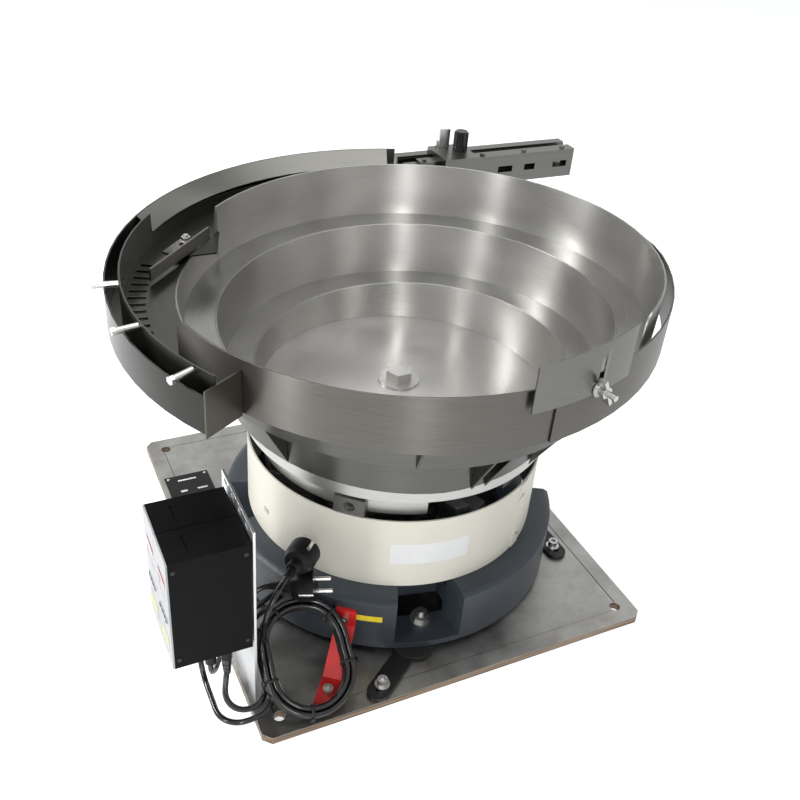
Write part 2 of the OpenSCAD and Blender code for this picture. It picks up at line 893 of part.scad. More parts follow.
// ---------------------------------------------------------- bowl's top plate
flat_in = 44;
flat_half = 52;
module top_plate() {
    color("silver") difference() {
        translate([0, 0, top_z]) {
            difference() {
                cylinder(r = top_r, h = top_t, $fn = 120);
                for (i = [0 : 2])
                    rotate([0, 0, clamp_a + 46 + 120 * i])
                        translate([top_r, 0, -1])
                            linear_extrude(top_t + 2)
                                polygon([
                                    [-flat_in, 0],
                                    [-flat_in / 3, -flat_half],
                                    [2 * flat_in, -flat_half],
                                    [2 * flat_in, flat_half],
                                    [-flat_in / 3, flat_half]
                                ]);
            }
        }
        translate([0, 0, top_z - 1]) cylinder(d = 21, h = top_t + 2, $fn = 48);
        for (i = [0 : 2])
            rotate([0, 0, clamp_a + 120 * i])
                translate([top_r - 14, 0, top_z + top_t / 2])
                    rotate([0, 90, 0]) cylinder(d = clamp_screw_d, h = 30, $fn = 32);
    }
}

clamp_screw_d = 8;
ring_h = 12;
ring_z = top_z + top_t;
floor_z = ring_z + ring_h;

module bowl_clamps() {
    z0 = shroud_top + 1.5;
    color([0.86, 0.87, 0.88]) for (i = [0 : 2])
        rotate([0, 0, clamp_a + 120 * i]) difference() {
            translate([top_r, -18, z0])
                cube([12, 36, top_z + top_t + 1 - z0]);
            translate([top_r - 1, 0, top_z + top_t / 2])
                rotate([0, 90, 0]) cylinder(d = clamp_screw_d, h = 20, $fn = 32);
            translate([top_r + 7, 0, top_z + top_t / 2])
                rotate([0, 90, 0]) cylinder(d = 13, h = 20, $fn = 32);
        }
}

module clamp_screws() {
    color("lightgray") for (i = [0 : 2])
        rotate([0, 0, clamp_a + 120 * i])
            translate([top_r - 14, 0, top_z + top_t / 2])
                rotate([0, 90, 0]) cylinder(d = clamp_screw_d, h = 20, $fn = 32);
}

// ------------------------------------------------------------ bowl's sheets
floor_r = 188;
hub_bore_r = 11;
hub_r = 46;
hub_top_r = 60;
dish_r = 148;
floor_top = rise(spiral_start) - sheet;
dish = 12;
ring_in = 110;
ring_out = 150;

// Dished floor with its hub, mounting ring and skirt welded on
module bowl_floor() {
    color([0.62, 0.63, 0.64]) rotate_extrude($fn = 144)
        polygon([
            [hub_bore_r, ring_z],
            [hub_r, ring_z],
            [hub_r, floor_top + dish - sheet],
            [hub_top_r, floor_top + dish - sheet],
            [ring_in, floor_top + dish * 0.4 - sheet],
            [ring_in, ring_z],
            [ring_out, ring_z],
            [ring_out, floor_top - sheet],
            [floor_r, floor_top - sheet],
            [floor_r, floor_z - 2],
            [floor_r + sheet, floor_z - 2],
            [floor_r + sheet, floor_top],
            [dish_r, floor_top],
            [hub_top_r, floor_top + dish],
            [hub_bore_r, floor_top + dish]
        ]);
}

bolt_head_af = 30;

module centre_bolt() {
    color("lightgray") {
        translate([0, 0, floor_top + dish]) {
            difference() {
                cylinder(d = 50, h = 3, $fn = 64);
                translate([0, 0, -1]) cylinder(d = 18, h = 5, $fn = 32);
            }
            translate([0, 0, 3]) hex_head(bolt_head_af, 13);
        }
        translate([0, 0, top_z + 2])
            cylinder(d = 20, h = floor_top + dish + 4 - top_z - 2, $fn = 48);
    }
}

// Outward lean of a wall for each millimetre of height
function lean_of(k) = (head_r(k) - track_ro(k)) / (track_z(k + 1) - track_z(k));
// Wall from a foot lowered by drop, past its own track, up to the next one
function wall_seg(k, drop) =
    wall_ring(ang(k), track_ro(k) - drop * lean_of(k), track_z(k) - drop,
        head_r(k), track_z(k + 1));

// Inner wall: from the floor up to the inner edge of the first turn
module inner_wall() {
    color([0.62, 0.63, 0.64]) skin([for (k = ks(spiral_start - 1 + step / 360, spiral_start))
        wall_ring(ang(k), track_ro(k), floor_top, head_r(k), track_z(k + 1))]);
}

module middle_wall() {
    color([0.62, 0.63, 0.64]) skin([for (k = ks(spiral_start, ease_end - 1))
        wall_seg(k, min(skirt, (k - spiral_start) * 360 / 4 + sheet))]);
}

// Outer wall: low under the outlet track, then full height to its end
rim_lean = 2;
rim_step = 0.2 / 360;
function rim_in(k, z) = track_ro(k) + rim_lean * (z - track_z(k)) / rim_h;

module outer_wall() {
    low = [for (k = ks(ease_end - 1, rim_start)) wall_seg(k, skirt)];
    high = [for (k = concat([rim_start + rim_step], ks(rim_start + step / 360, spiral_end)))
        let (z0 = rise(k) - skirt, z1 = rise(k) + rim_h)
        wall_ring(ang(k), rim_in(k, z0), z0, rim_in(k, z1), z1)];
    color([0.66, 0.67, 0.68]) difference() {
        skin(concat(low, high));
        // Cut free corner at the front right
        rotate([0, 0, ang(spiral_end)])
            translate([track_ro(spiral_end) - 20, 0, rise(spiral_end) + rim_h])
                rotate([90, 0, 90]) linear_extrude(40)
                    polygon([[-1, 1], [-1, -14], [4, -5], [14, 1]]);
    }
}

// Radius of the outer band's inner face
band_growth = -26;
band_fall = -36;
band_begin = 445 / 360;
band_lap = 530 / 360;
band_over = 537 / 360;
band_end = ease_end;
function band_in(k) = band_r + band_growth * (k - 1.5);
function band_hi(k) = band_top + band_fall * (k - 1.5);
band_climb = -110;
function band_lo(k) = band_low + band_climb * min(k - 1.5, 0);

// Outer edge of the track: its own wall first, the band after the wall ends
function track_edge(k) = k <= spiral_end
    ? track_ro(k)
    : lerp(track_ro(k), band_in(k), soft((k - spiral_end) * turn_deg / 20));

// Lean of the wall inside and of the wall outside the track
function lean_in(k) = k - 1 < rim_start ? lean_of(k - 1) : 0;
function lean_out(k) = k <= rim_start ? lean_of(k) : 0;
function inner_edge(k) = k - 1 <= rim_start ? head_r(k - 1) + sheet : rim_in(k - 1, track_z(k));

module bowl_track() {
    color([0.68, 0.69, 0.70]) skin([for (k = ks(spiral_start, ease_end))
        let (z = track_z(k), ri = head_r(k - 1) + sheet, ro = track_edge(k))
        ring4(ang(k), ri - sheet * lean_in(k), z - sheet, ro - sheet * lean_out(k), z - sheet,
            ro, z, ri, z)]);
}

module front_band() {
    color([0.66, 0.67, 0.68]) difference() {
        skin([for (k = ks(band_lap, band_end))
            let (r = band_in(k))
            wall_ring(ang(k), r, band_lo(k), r, band_hi(k))]);
        // Chamfered free end at the left
        rotate([0, 0, ang(band_end)])
            translate([band_in(band_end) - 20, 0, band_hi(band_end)])
                rotate([90, 0, 90]) linear_extrude(40)
                    polygon([[-1, 1], [-1, -11], [11, 1]]);
    }
}

function right_in(k) = lerp(track_ro(k) + rim_lean + sheet, band_in(k) + sheet,
    soft((k - band_begin) * turn_deg / 25));

module right_band() {
    color([0.62, 0.63, 0.64]) skin([for (k = ks(band_begin, band_over))
        let (r = right_in(k))
        wall_ring(ang(k), r, band_lo(k), r, band_hi(k))]);
}

// Upright triangular plates between one tier's wall and the next tier's skirt,
// by the progress of the lower wall
gusset_k = [-0.331, -0.511, -0.497, -0.57, 0.07, 0.43, 0.711, 0.56, 0.25];
gusset_t = 3;
gusset_gap = 0.06;
band_gap = 0.25;
function wall_in(k, z) = track_ro(k) + (z - track_z(k)) * lean_of(k);
// Inner face of whatever hangs below the outer edge of the track
function tier_in(k, z) = k <= rim_start ? wall_in(k, z)
    : k <= spiral_end ? rim_in(k, z)
    : k <= band_lap ? right_in(k)
    : band_in(k);

module gusset(k) {
    z0 = track_z(k) - skirt;
    z1 = max(track_z(k + 1) - skirt, k + 1 > spiral_end ? band_lo(k + 1) : 0);
    z2 = track_z(k + 1) - sheet - 0.3;
    foot = wall_in(k, z0) + sheet + gusset_gap;
    lip = tier_in(k + 1, z1) - (k + 1 > spiral_end ? band_gap : gusset_gap);
    rotate([0, 0, ang(k)]) rotate([90, 0, 0]) translate([0, 0, -gusset_t / 2])
        linear_extrude(gusset_t) polygon([
            [foot, z0],
            [lip, z1],
            [lip, z2],
            [wall_in(k, z2) + sheet + gusset_gap, z2]
        ]);
}

module bowl_gussets() {
    color([0.70, 0.71, 0.72]) for (k = gusset_k) gusset(k);
}

// -------------------------------------------------------------------- outlet
pan_z = 360;
pan_t = 2;
guide_k0 = 599 / 360;
rail_x0 = 130;
rail_y1 = guide_r + 8;
rail_y0 = rail_y1 - rail_w;
rail_z0 = outlet_z - 3;
rail_top = rail_z0 + rail_h;
straight_x = rail_x0 - 30;
comb_len = 20;
comb_w = 6;
comb_a0 = 150;
comb_a1 = 186;
pan_growth = 28;
pan_rise = 57;
pan_k0 = 599 / 360;
pan_k1 = 742 / 360;
function pan_in(k) = pan_r + pan_growth * (k - 1.75);
function pan_hi(k) = guide_top - 12 + pan_rise * (k - 1.75);
// Outer face of the low wall or of the rim at the level of the outlet track
function outlet_in(k) = (k - 1 <= rim_start
    ? head_r(k - 1)
    : track_ro(k - 1) + rim_lean) + sheet;

module outlet_track() {
    inner = [for (k = ks(ease_end, outlet_end)) polar(outlet_in(k), ang(k))];
    outer = [for (k = ks(ease_end, outlet_end)) polar(guide_r, ang(k))];
    color([0.72, 0.72, 0.72]) difference() {
        translate([0, 0, outlet_z - sheet])
            linear_extrude(sheet)
                polygon(concat(
                    inner,
                    [[rail_x0, rail_y0 - 4], [rail_x0, guide_r]],
                    [for (i = [len(outer) - 1 : -1 : 0]) outer[i]]
                ));
        for (i = [0 : comb_n - 1])
            rotate([0, 0, comb_a0 + (comb_a1 - comb_a0) * i / max(comb_n - 1, 1)])
                translate([guide_r - comb_len - 4, -comb_w / 2, outlet_z - sheet - 1])
                    cube([comb_len, comb_w, sheet + 2]);
    }
}

guide_low = 34;
guide_step = 669 / 360;
function guide_hi(k) = k <= guide_step ? guide_top : pan_z + pan_t + guide_low;

// Tall beside the wiper, lower under the sloping cover, then straight on
module guide_wall() {
    z0 = pan_z + pan_t;
    z1 = z0 + guide_low;
    y1 = guide_r + sheet;
    k_list = concat(
        [guide_k0],
        ks(guide_k0 + 1 / 360, ease_end - step / 360),
        ks(ease_end, guide_step),
        [guide_step + rim_step],
        ks(ease_end + 10 * step / 360, outlet_end)
    );
    rings = [for (k = k_list) wall_ring(ang(k), guide_r, z0, guide_r, guide_hi(k))];
    last = [
        [straight_x, guide_r, z0],
        [straight_x, y1, z0],
        [straight_x, y1, z1],
        [straight_x, guide_r, z1]
    ];
    color([0.66, 0.67, 0.68]) skin(concat(rings, [last]));
}

module pan_floor() {
    k_list = ks(pan_k0, pan_k1);
    near = [for (k = ks(pan_k0, ease_end)) polar(band_in(k) + sheet, ang(k))];
    far = [for (k = ks(ease_end, pan_k1)) polar(outlet_in(k) + 0.5, ang(k))];
    color([0.50, 0.51, 0.52]) translate([0, 0, pan_z])
        linear_extrude(pan_t)
            polygon(concat(
                near,
                far,
                [for (i = [len(k_list) - 1 : -1 : 0])
                    polar(pan_in(k_list[i]), ang(k_list[i]))]
            ));
}

module pan_wall() {
    color([0.66, 0.67, 0.68]) skin([for (k = ks(pan_k0, pan_k1))
        let (r = pan_in(k))
        wall_ring(ang(k), r, pan_z, r, pan_hi(k))]);
}

module pan_end_plate() {
    r0 = band_in(pan_k0) + sheet;
    r1 = pan_in(pan_k0) + sheet;
    color([0.70, 0.71, 0.72])
        rotate([0, 0, ang(pan_k0)])
            translate([r0, 0, pan_z - 2])
                cube([r1 - r0 + 2, sheet, pan_hi(pan_k0) - pan_z + 10]);
}

// Sloping cover along the back of the pan
guard_k0 = 669 / 360;
guard_k1 = 740 / 360;

module back_guard() {
    color([0.45, 0.46, 0.47]) skin([for (k = ks(guard_k0, guard_k1))
        let (a = ang(k), ro = pan_in(k), z1 = pan_hi(k), ri = guide_r - 2, z0 = z1 - 18)
        ring4(a, ri, z0, ro, z1 - 1.5, ro, z1, ri, z0 + 1.5)]);
}

standoff_angles = [172, -171.5, -154];
standoff_d = 7;
standoff_z = guide_top - 5;
standoff_len = pan_r - guide_r + 8;

module guide_standoffs() {
    color("lightgray") for (a = standoff_angles)
        at_polar(guide_r + sheet, a, standoff_z) rotate([0, 90, 0]) {
            cylinder(d = standoff_d, h = standoff_len, $fn = 32);
            translate([0, 0, standoff_len]) hex_head(8, 4);
        }
}

// Blade across the outlet track, with its clamped foot
bar_p = [-178, 196];
bar_q = [-270, 106];
bar_h = 15;
bar_z = outlet_z + 4;
bar_dir = atan2(bar_q[1] - bar_p[1], bar_q[0] - bar_p[0]);
bar_len = norm(bar_q - bar_p);
foot_x = 18;
post_x = 27;
post_y = -14;

module wiper_bar() {
    color([0.75, 0.75, 0.75]) translate([bar_p[0], bar_p[1], bar_z])
        rotate([0, 0, bar_dir]) {
            cube([bar_len, 3, bar_h]);
            difference() {
                translate([foot_x, -24, 0]) cube([46, 24 + eps, 3]);
                translate([post_x + 4, post_y, -1]) linear_extrude(5) slot_2d(10, 7);
            }
        }
}

module wiper_post() {
    color("lightgray") translate([bar_p[0], bar_p[1], outlet_z])
        rotate([0, 0, bar_dir]) translate([post_x, post_y, 0]) {
            cylinder(d = 12, h = bar_z - outlet_z, $fn = 32);
            cylinder(d = 6, h = bar_z - outlet_z + 12, $fn = 32);
            translate([0, 0, bar_z - outlet_z + 3]) cylinder(d = 14, h = 1.5, $fn = 32);
            translate([0, 0, bar_z - outlet_z + 4.5]) hex_head(10, 5);
        }
}

// Flat triangle welded to the rim's cut corner, over the bowl
module deflector_plate() {
    z = outlet_z + 9;
    c = polar(rim_in(rim_start, z), ang(rim_start));
    color([0.70, 0.71, 0.72]) translate([0, 0, z])
        linear_extrude(sheet)
            polygon([c, c + [-50, -56], c + [-17, -57], c + [2, -3]]);
}

// --------------------------------------------------------------- outlet rail
cover_t = 3;
rail_wall = (rail_w - rail_channel) / 2;
side_slots = [[150, 24], [195, 18], [245, 24]];
cover_screws = [30, 125, 195, 262];

module outlet_rail() {
    color([0.74, 0.75, 0.76]) difference() {
        translate([rail_x0, rail_y0, rail_z0])
            cube([rail_len, rail_w, rail_h - cover_t]);
        translate([rail_x0 - 1, rail_y0 + rail_wall, outlet_z])
            cube([rail_len + 2, rail_channel, rail_h]);
        for (s = side_slots)
            translate([rail_x0 + min(s[0], rail_len - 30), rail_y0 - 1, rail_z0 + 16])
                cube([s[1], rail_wall + 2, 9]);
    }
}

module rail_cover() {
    color([0.78, 0.78, 0.78])
        translate([rail_x0 + 22, rail_y0, rail_top - cover_t])
            cube([rail_len - 22, rail_wall + 3, cover_t]);
    color([0.1, 0.1, 0.1])
        translate([rail_x0, rail_y1 - rail_wall + 1, rail_top - cover_t])
            cube([rail_len, rail_wall - 1, cover_t]);
    color("lightgray") for (x = cover_screws)
        translate([rail_x0 + min(x, rail_len - 8), rail_y0 + rail_wall / 2, rail_top])
            cylinder(d = 7, h = 3, $fn = 32);
}

strap_x0 = 72;

module rail_strap() {
    color([0.74, 0.75, 0.76])
        translate([strap_x0, rail_y0 + 8, pan_z + pan_t])
            cube([150, rail_w - 24, rail_z0 - pan_z - pan_t]);
}

block_x = 182;
block_w = 40;
block_d = 16;
knob_x = 224;
knob_y = rail_y0 + rail_w / 2 - 1;
knob_stud = 6;
run_gap = 0.05;

module rail_clamp() {
    color([0.80, 0.81, 0.82]) difference() {
        union() {
            translate([block_x, rail_y0 - block_d, rail_top - 24])
                cube([block_w, block_d, 24]);
            translate([block_x, rail_y0 - block_d, rail_top])
                cube([block_w + 14, block_d + rail_w - 3, 7]);
        }
        translate([knob_x, knob_y, rail_top - 1])
            cylinder(d = knob_stud + 2 * run_gap, h = 9, $fn = 48);
        for (x = [10, 28])
            translate([block_x + x, rail_y0 - block_d - 1, rail_top - 12])
                rotate([-90, 0, 0]) cylinder(d = 7, h = 5, $fn = 32);
    }
}

module rail_pointer() {
    color([0.80, 0.81, 0.76])
        translate([block_x + 14, rail_y0 + 33, rail_top + 7]) {
            cube([16, 4, 26]);
            translate([-2, 4 - eps, 0]) cube([20, 5, 8]);
        }
}

// --------------------------------------------------------- the moving pieces
knob_d = 21;
knob_h = 26;
flutes = 10;

module rail_knob() {
    color([0.05, 0.05, 0.05]) translate([knob_x, knob_y, rail_top + 7 + 0.5]) {
        difference() {
            union() {
                cylinder(d = knob_d, h = knob_h - 2, $fn = 64);
                translate([0, 0, knob_h - 2]) cylinder(d = knob_d - 4, h = 2, $fn = 64);
            }
            for (i = [0 : flutes - 1])
                rotate([0, 0, i * 360 / flutes])
                    translate([knob_d / 2 + 0.8, 0, 4]) cylinder(d = 4, h = knob_h, $fn = 24);
        }
        translate([0, 0, -7]) cylinder(d = knob_stud, h = 7 + eps, $fn = 48);
    }
}

gate_a = -78;
gate_half = 12;
gate_gap = 0.5;
gate_r = band_in(turns(gate_a) + 1) + 2 * sheet + gate_gap + 1.2;
stud_z = band_low + 53;
gate_z0 = stud_z - 11;
slot_lo = stud_z - stud_d / 2 - 0.4;
slot_hi = stud_z + gate_travel + stud_d / 2 + 14;

module gate_stud() {
    k = turns(gate_a) + 1;
    color("lightgray") at_polar(right_in(k) + sheet - 0.6, gate_a, stud_z)
        rotate([0, 90, 0]) {
            cylinder(d = 11, h = 0.9, $fn = 32);
            cylinder(d = stud_d, h = 26, $fn = 48);
        }
}

// Curved plate with a sloping top and foot, and an upright slot
module gate_plate() {
    color([0.58, 0.59, 0.60]) difference() {
        translate([0, 0, gate_z0])
            arc_sheet(gate_r, sheet, gate_h + 12, gate_a - gate_half - 3, gate_a + gate_half - 3);
        rotate([0, 0, gate_a])
            translate([gate_r - 12, 0, 0]) rotate([90, 0, 90]) linear_extrude(20) {
                translate([0, (slot_lo + slot_hi) / 2])
                    rotate(90) slot_2d(slot_hi - slot_lo - stud_d - 0.8, stud_d + 0.8);
                polygon([
                    [-90, gate_z0 + gate_h - 8],
                    [60, gate_z0 + gate_h + 10],
                    [60, gate_z0 + gate_h + 40],
                    [-90, gate_z0 + gate_h + 40]
                ]);
                polygon([[-90, gate_z0 + 1], [60, gate_z0 + 9], [60, 300], [-90, 300]]);
            }
    }
}

nut_gap = 0.4;

module gate_nut() {
    color("lightgray") at_polar(gate_r + sheet + nut_gap, gate_a, stud_z)
        rotate([0, 90, 0]) difference() {
            union() {
                cylinder(d = 18, h = 1.6, $fn = 48);
                translate([0, 0, 1.6]) cylinder(d = 12, h = 9, $fn = 48);
                for (s = [0, 180])
                    rotate([0, 0, s + 25]) translate([0, -2, 3]) cube([16, 4, 9]);
            }
            translate([0, 0, -1])
                cylinder(d = stud_d + 2 * run_gap, h = 16, $fn = 48);
        }
}

base_plate();
rubber_feet();
foot_clamps();
clamp_bolts();
drive_casting();
pocket_bolts();
shroud();
shroud_screws();
spring_packs();
spring_feet();
magnet_core();
magnet_coil();
transport_bracket();
transport_bolts();
data_plate();
controller_bracket();
controller_near();
controller_far();
control_panels();
cable_glands();
mains_lead_near();
mains_lead_far();
mains_coil();
coil_ties();
output_leads();
mains_plug_upper();
mains_plug_lower();
top_plate();
spring_heads();
armature();
bowl_clamps();
clamp_screws();
bowl_floor();
centre_bolt();
inner_wall();
middle_wall();
outer_wall();
bowl_track();
front_band();
right_band();
bowl_gussets();
outlet_track();
guide_wall();
pan_floor();
pan_wall();
pan_end_plate();
back_guard();
guide_standoffs();
wiper_bar();
wiper_post();
deflector_plate();
outlet_rail();
rail_cover();
rail_strap();
rail_clamp();
rail_pointer();
gate_stud();
gate_plate();
gate_nut();
rail_knob();
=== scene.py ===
# %% [markdown]
# # A vibratory bowl feeder
# This lesson dresses a finished CAD model of a bowl feeder: the machine that
# shakes small parts up a spiral track so that they leave it in single file.
# The steel shapes come from the CAD frame and keep their places. Here they get
# their finishes, and the soft and small pieces are modelled on top of them:
# the mains leads, plugs, ties, labels, display windows and screw heads.

# %% Load the frame and note its box
import bpy
import math
from mathutils import Matrix, Quaternion, Vector
from mathutils.geometry import interpolate_bezier


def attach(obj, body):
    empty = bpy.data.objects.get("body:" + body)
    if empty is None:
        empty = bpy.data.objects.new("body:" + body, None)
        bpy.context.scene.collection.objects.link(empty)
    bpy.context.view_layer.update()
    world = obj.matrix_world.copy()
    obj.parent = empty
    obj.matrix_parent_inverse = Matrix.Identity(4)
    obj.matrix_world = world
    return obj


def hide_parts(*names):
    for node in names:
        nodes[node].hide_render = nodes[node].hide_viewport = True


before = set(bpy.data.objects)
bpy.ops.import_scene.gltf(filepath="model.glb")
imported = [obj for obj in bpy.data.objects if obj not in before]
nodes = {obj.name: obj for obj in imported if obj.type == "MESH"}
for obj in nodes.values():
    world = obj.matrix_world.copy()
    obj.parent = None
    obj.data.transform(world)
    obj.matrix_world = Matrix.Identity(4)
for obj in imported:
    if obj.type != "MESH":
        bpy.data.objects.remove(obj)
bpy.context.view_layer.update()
bpy.ops.object.select_all(action="DESELECT")

# %% [markdown]
# ## The camera
# A camera is a place, a direction and a lens. This one stands in front of the
# left corner, 34 degrees above the bench, turned slightly clockwise as a
# handheld camera is. Its three axes are worked out from those angles and put
# straight into its matrix, because a matrix leaves nothing to a constraint.

# %% Camera at the left front corner
swing, tip, roll = (math.radians(a) for a in (-28, 34.2, 5.2))
camera_place = (-0.4587, -0.8712, 0.8962)
right = Vector((math.cos(swing), math.sin(swing), 0))
back = Vector((math.sin(swing) * math.cos(tip), -math.cos(swing) * math.cos(tip), math.sin(tip)))
up = back.cross(right)
camera_axes = Matrix((
    right * math.cos(roll) + up * math.sin(roll),
    up * math.cos(roll) - right * math.sin(roll),
    back,
))
bpy.ops.object.camera_add()
camera = bpy.context.object
camera.name = "camera"
camera.matrix_world = Matrix.Translation(camera_place) @ camera_axes.transposed().to_4x4()
camera.data.lens = 43.2
camera.data.sensor_width = 36
camera.data.clip_start, camera.data.clip_end = 0.05, 30
bpy.context.scene.camera = camera
bpy.context.scene.view_settings.view_transform = "Standard"
print("camera at", [round(v, 3) for v in camera.location])

# %% [markdown]
# ## The mains leads
# Each controller has a round black mains lead with a moulded plug. The fitter
# wound both into one oval coil that leans on the casting, and tied it with
# cable ties. A lead is a fixed length of something flexible, so it is one
# smooth curve with a round bevel. Bezier points with automatic handles keep the
# bend even. The coil has its own frame: x up its length, y to the left and z
# out of it, and a point of the winding is written in that frame.

# %% The coil's frame and its turns
MM = 0.001
plate_t, casting_r, shroud_r = 10, 213, 184
coil_bearing, coil_heading, coil_lean = (math.radians(a) for a in (-133.59, 87, 31.5))
coil_w, coil_l, coil_t = 104, 134, 17
coil_half = (coil_l - coil_w) / 2
coil_r = casting_r + 63.59
coil_x = Vector((
    math.cos(coil_heading) * math.cos(coil_lean),
    math.sin(coil_heading) * math.cos(coil_lean),
    math.sin(coil_lean),
))
coil_y = Vector((-math.sin(coil_heading), math.cos(coil_heading), 0))
coil_z = coil_x.cross(coil_y)
coil_c = Vector((
    coil_r * math.cos(coil_bearing),
    coil_r * math.sin(coil_bearing),
    plate_t + coil_l / 2 * math.sin(coil_lean) + coil_t / 2 * math.cos(coil_lean),
))
lead_d, pitch, turns = 6.5, 6.8, 3
outer_r, inner_r = 48.5, 41.8
first_h = -10.2
last_h = first_h + pitch * turns
turn_steps, step_angle = 20, 22.5


def coil_point(x, y, h):
    return coil_c + coil_x * x + coil_y * y + coil_z * h


def one_turn():
    """One turn as (end of the coil, angle), from the left side over the top."""
    top = [(1, 90 - step_angle * i) for i in range(9)]
    foot = [(-1, -90 - step_angle * i) for i in range(9)]
    return [(0, 90)] + top + [(0, -90)] + foot


def wound(step, radius, height):
    side, angle = one_turn()[step % turn_steps]
    a = math.radians(angle)
    return coil_point(side * coil_half + radius * math.cos(a), radius * math.sin(a), height)


def winding(radius):
    """Turns that lie on each other like a spring, from the back to the front."""
    return [wound(i, radius, first_h + pitch * i / turn_steps)
            for i in range(1, turns * turn_steps + 1)]


print("a turn is", round((math.pi * coil_w + 4 * coil_half) * MM, 3), "m round the outside")


# %% One smooth curve for a lead
def linked(name, data):
    """Puts new data into the scene as a piece."""
    piece = bpy.data.objects.new(name, data)
    bpy.context.collection.objects.link(piece)
    return piece


def lead_curve(name, points, diameter):
    data = bpy.data.curves.new(name, "CURVE")
    spline = data.splines.new("BEZIER")
    spline.bezier_points.add(len(points) - 1)
    for bez, p in zip(spline.bezier_points, points):
        bez.co = Vector(p) * MM
        bez.handle_left_type = bez.handle_right_type = "AUTO"
        bez.radius = diameter / 2 * MM
    data.dimensions = "3D"
    data.resolution_u = 5
    data.bevel_depth = 1  # each point's own radius is the lead's
    data.bevel_resolution = 4
    data.use_fill_caps = True
    return linked(name, data)


def rounded(corners, radius, step=8, arc_steps=24):
    """Rounds the corners of a path to one radius, with a point about every step."""
    corners = [Vector(c) for c in corners]
    path = [corners[0]]
    for before, corner, after in zip(corners, corners[1:], corners[2:]):
        back, on = (before - corner).normalized(), (after - corner).normalized()
        turn = math.pi - back.angle(on)
        centre = corner + (back + on).normalized() * radius / math.cos(turn / 2)
        arm = corner + back * radius * math.tan(turn / 2) - centre
        axis = back.cross(arm)
        path += [centre + Quaternion(axis, turn * i / arc_steps) @ arm
                 for i in range(arc_steps + 1)]
    path.append(corners[-1])
    total = sum((b - a).length for a, b in zip(path, path[1:]))
    count = round(total / step)
    points, gone, target = [path[0]], 0.0, total / count
    for a, b in zip(path, path[1:]):
        length = (b - a).length
        while gone + length > target * len(points) - 1e-6 and len(points) < count:
            points.append(a.lerp(b, (target * len(points) - gone) / length))
        gone += length
    return [tuple(p) for p in points + [path[-1]]]


gland_x, gland_end = -296, 89
near_gland, far_gland = (gland_x + 16, -199), (gland_x, -139)
near_start = [
    (*near_gland, gland_end), (*near_gland, gland_end - 17),
    (-293, -224, 31), (-240.2, -225, 23.6), coil_point(0, outer_r, first_h),
]
far_start = [
    (*far_gland, gland_end), (*far_gland, gland_end - 19),
    (-296, -150, 18), (-296, -232, 17), (-234.2, -232, 19.6), coil_point(0, inner_r, first_h),
]
print("the leads leave their glands at", near_gland, far_gland)

# %% [markdown]
# ## The plugs
# A moulded two-pin plug is a turned body with a ribbed tail, so its outline is
# drawn once and spun round the axis. Two slots are cut in its sides for the
# earth springs with a boolean, as they cut straight through the round wall.
# It is modelled on its own axis, pins up, and then set down in its place.


# %% Setting a piece down
def select_only(piece):
    bpy.ops.object.select_all(action="DESELECT")
    piece.select_set(True)
    bpy.context.view_layer.objects.active = piece


def deselect():
    bpy.ops.object.select_all(action="DESELECT")


def apply_place(piece, place):
    """Sets a piece down and puts its place into its mesh."""
    piece.matrix_world = place
    select_only(piece)
    bpy.ops.object.transform_apply(location=True, rotation=True, scale=True)
    deselect()
    return piece


# %% Turned shapes and boxes
def turned(name, outline, steps=48, smooth=35):
    """Spins an outline of (radius, height) in millimetres round Z."""
    mesh = bpy.data.meshes.new(name)
    corners = [(r * MM, 0, z * MM) for r, z in outline]
    mesh.from_pydata(corners, [(i, i + 1) for i in range(len(outline) - 1)], [])
    piece = linked(name, mesh)
    select_only(piece)
    bpy.ops.object.mode_set(mode="EDIT")
    bpy.ops.mesh.select_all(action="SELECT")
    bpy.ops.mesh.spin(steps=steps, angle=math.tau, center=(0, 0, 0), axis=(0, 0, 1))
    bpy.ops.mesh.select_all(action="SELECT")
    bpy.ops.mesh.remove_doubles(threshold=1e-6)
    bpy.ops.mesh.normals_make_consistent(inside=False)
    bpy.ops.object.mode_set(mode="OBJECT")
    bpy.ops.object.shade_smooth_by_angle(angle=math.radians(smooth))
    deselect()
    return piece


def block(name, size, centre, edge=0.0):
    """A box of a size in millimetres with its edges rounded."""
    bpy.ops.mesh.primitive_cube_add(size=1, location=Vector(centre) * MM)
    piece = bpy.context.object
    piece.name = name
    piece.scale = Vector(size) * MM
    bpy.ops.object.transform_apply(location=True, rotation=True, scale=True)
    if edge:
        bpy.ops.object.mode_set(mode="EDIT")
        bpy.ops.mesh.select_all(action="SELECT")
        bpy.ops.mesh.bevel(offset=edge * MM, segments=2, affect="EDGES")
        bpy.ops.object.mode_set(mode="OBJECT")
        bpy.ops.object.shade_smooth_by_angle(angle=math.radians(30))
    deselect()
    return piece


print("turned shapes have 48 steps, unless a piece is small")


# %% Joins, cuts and copies
def joined(name, pieces):
    """Makes several meshes one piece."""
    deselect()
    for p in pieces:
        p.select_set(True)
    bpy.context.view_layer.objects.active = pieces[0]
    bpy.ops.object.join()
    pieces[0].name = name
    deselect()
    return pieces[0]


def cut(piece, cutters):
    """Takes the cutters out of a piece."""
    for c in cutters:
        m = piece.modifiers.new("cut", "BOOLEAN")
        m.operation, m.object, m.solver = "DIFFERENCE", c, "EXACT"
        bpy.context.view_layer.objects.active = piece
        bpy.ops.object.modifier_apply(modifier=m.name)
        bpy.data.objects.remove(c)
    return piece


def copy_of(piece, name):
    return linked(name, piece.data.copy())


print("meshes so far", len(bpy.data.meshes))

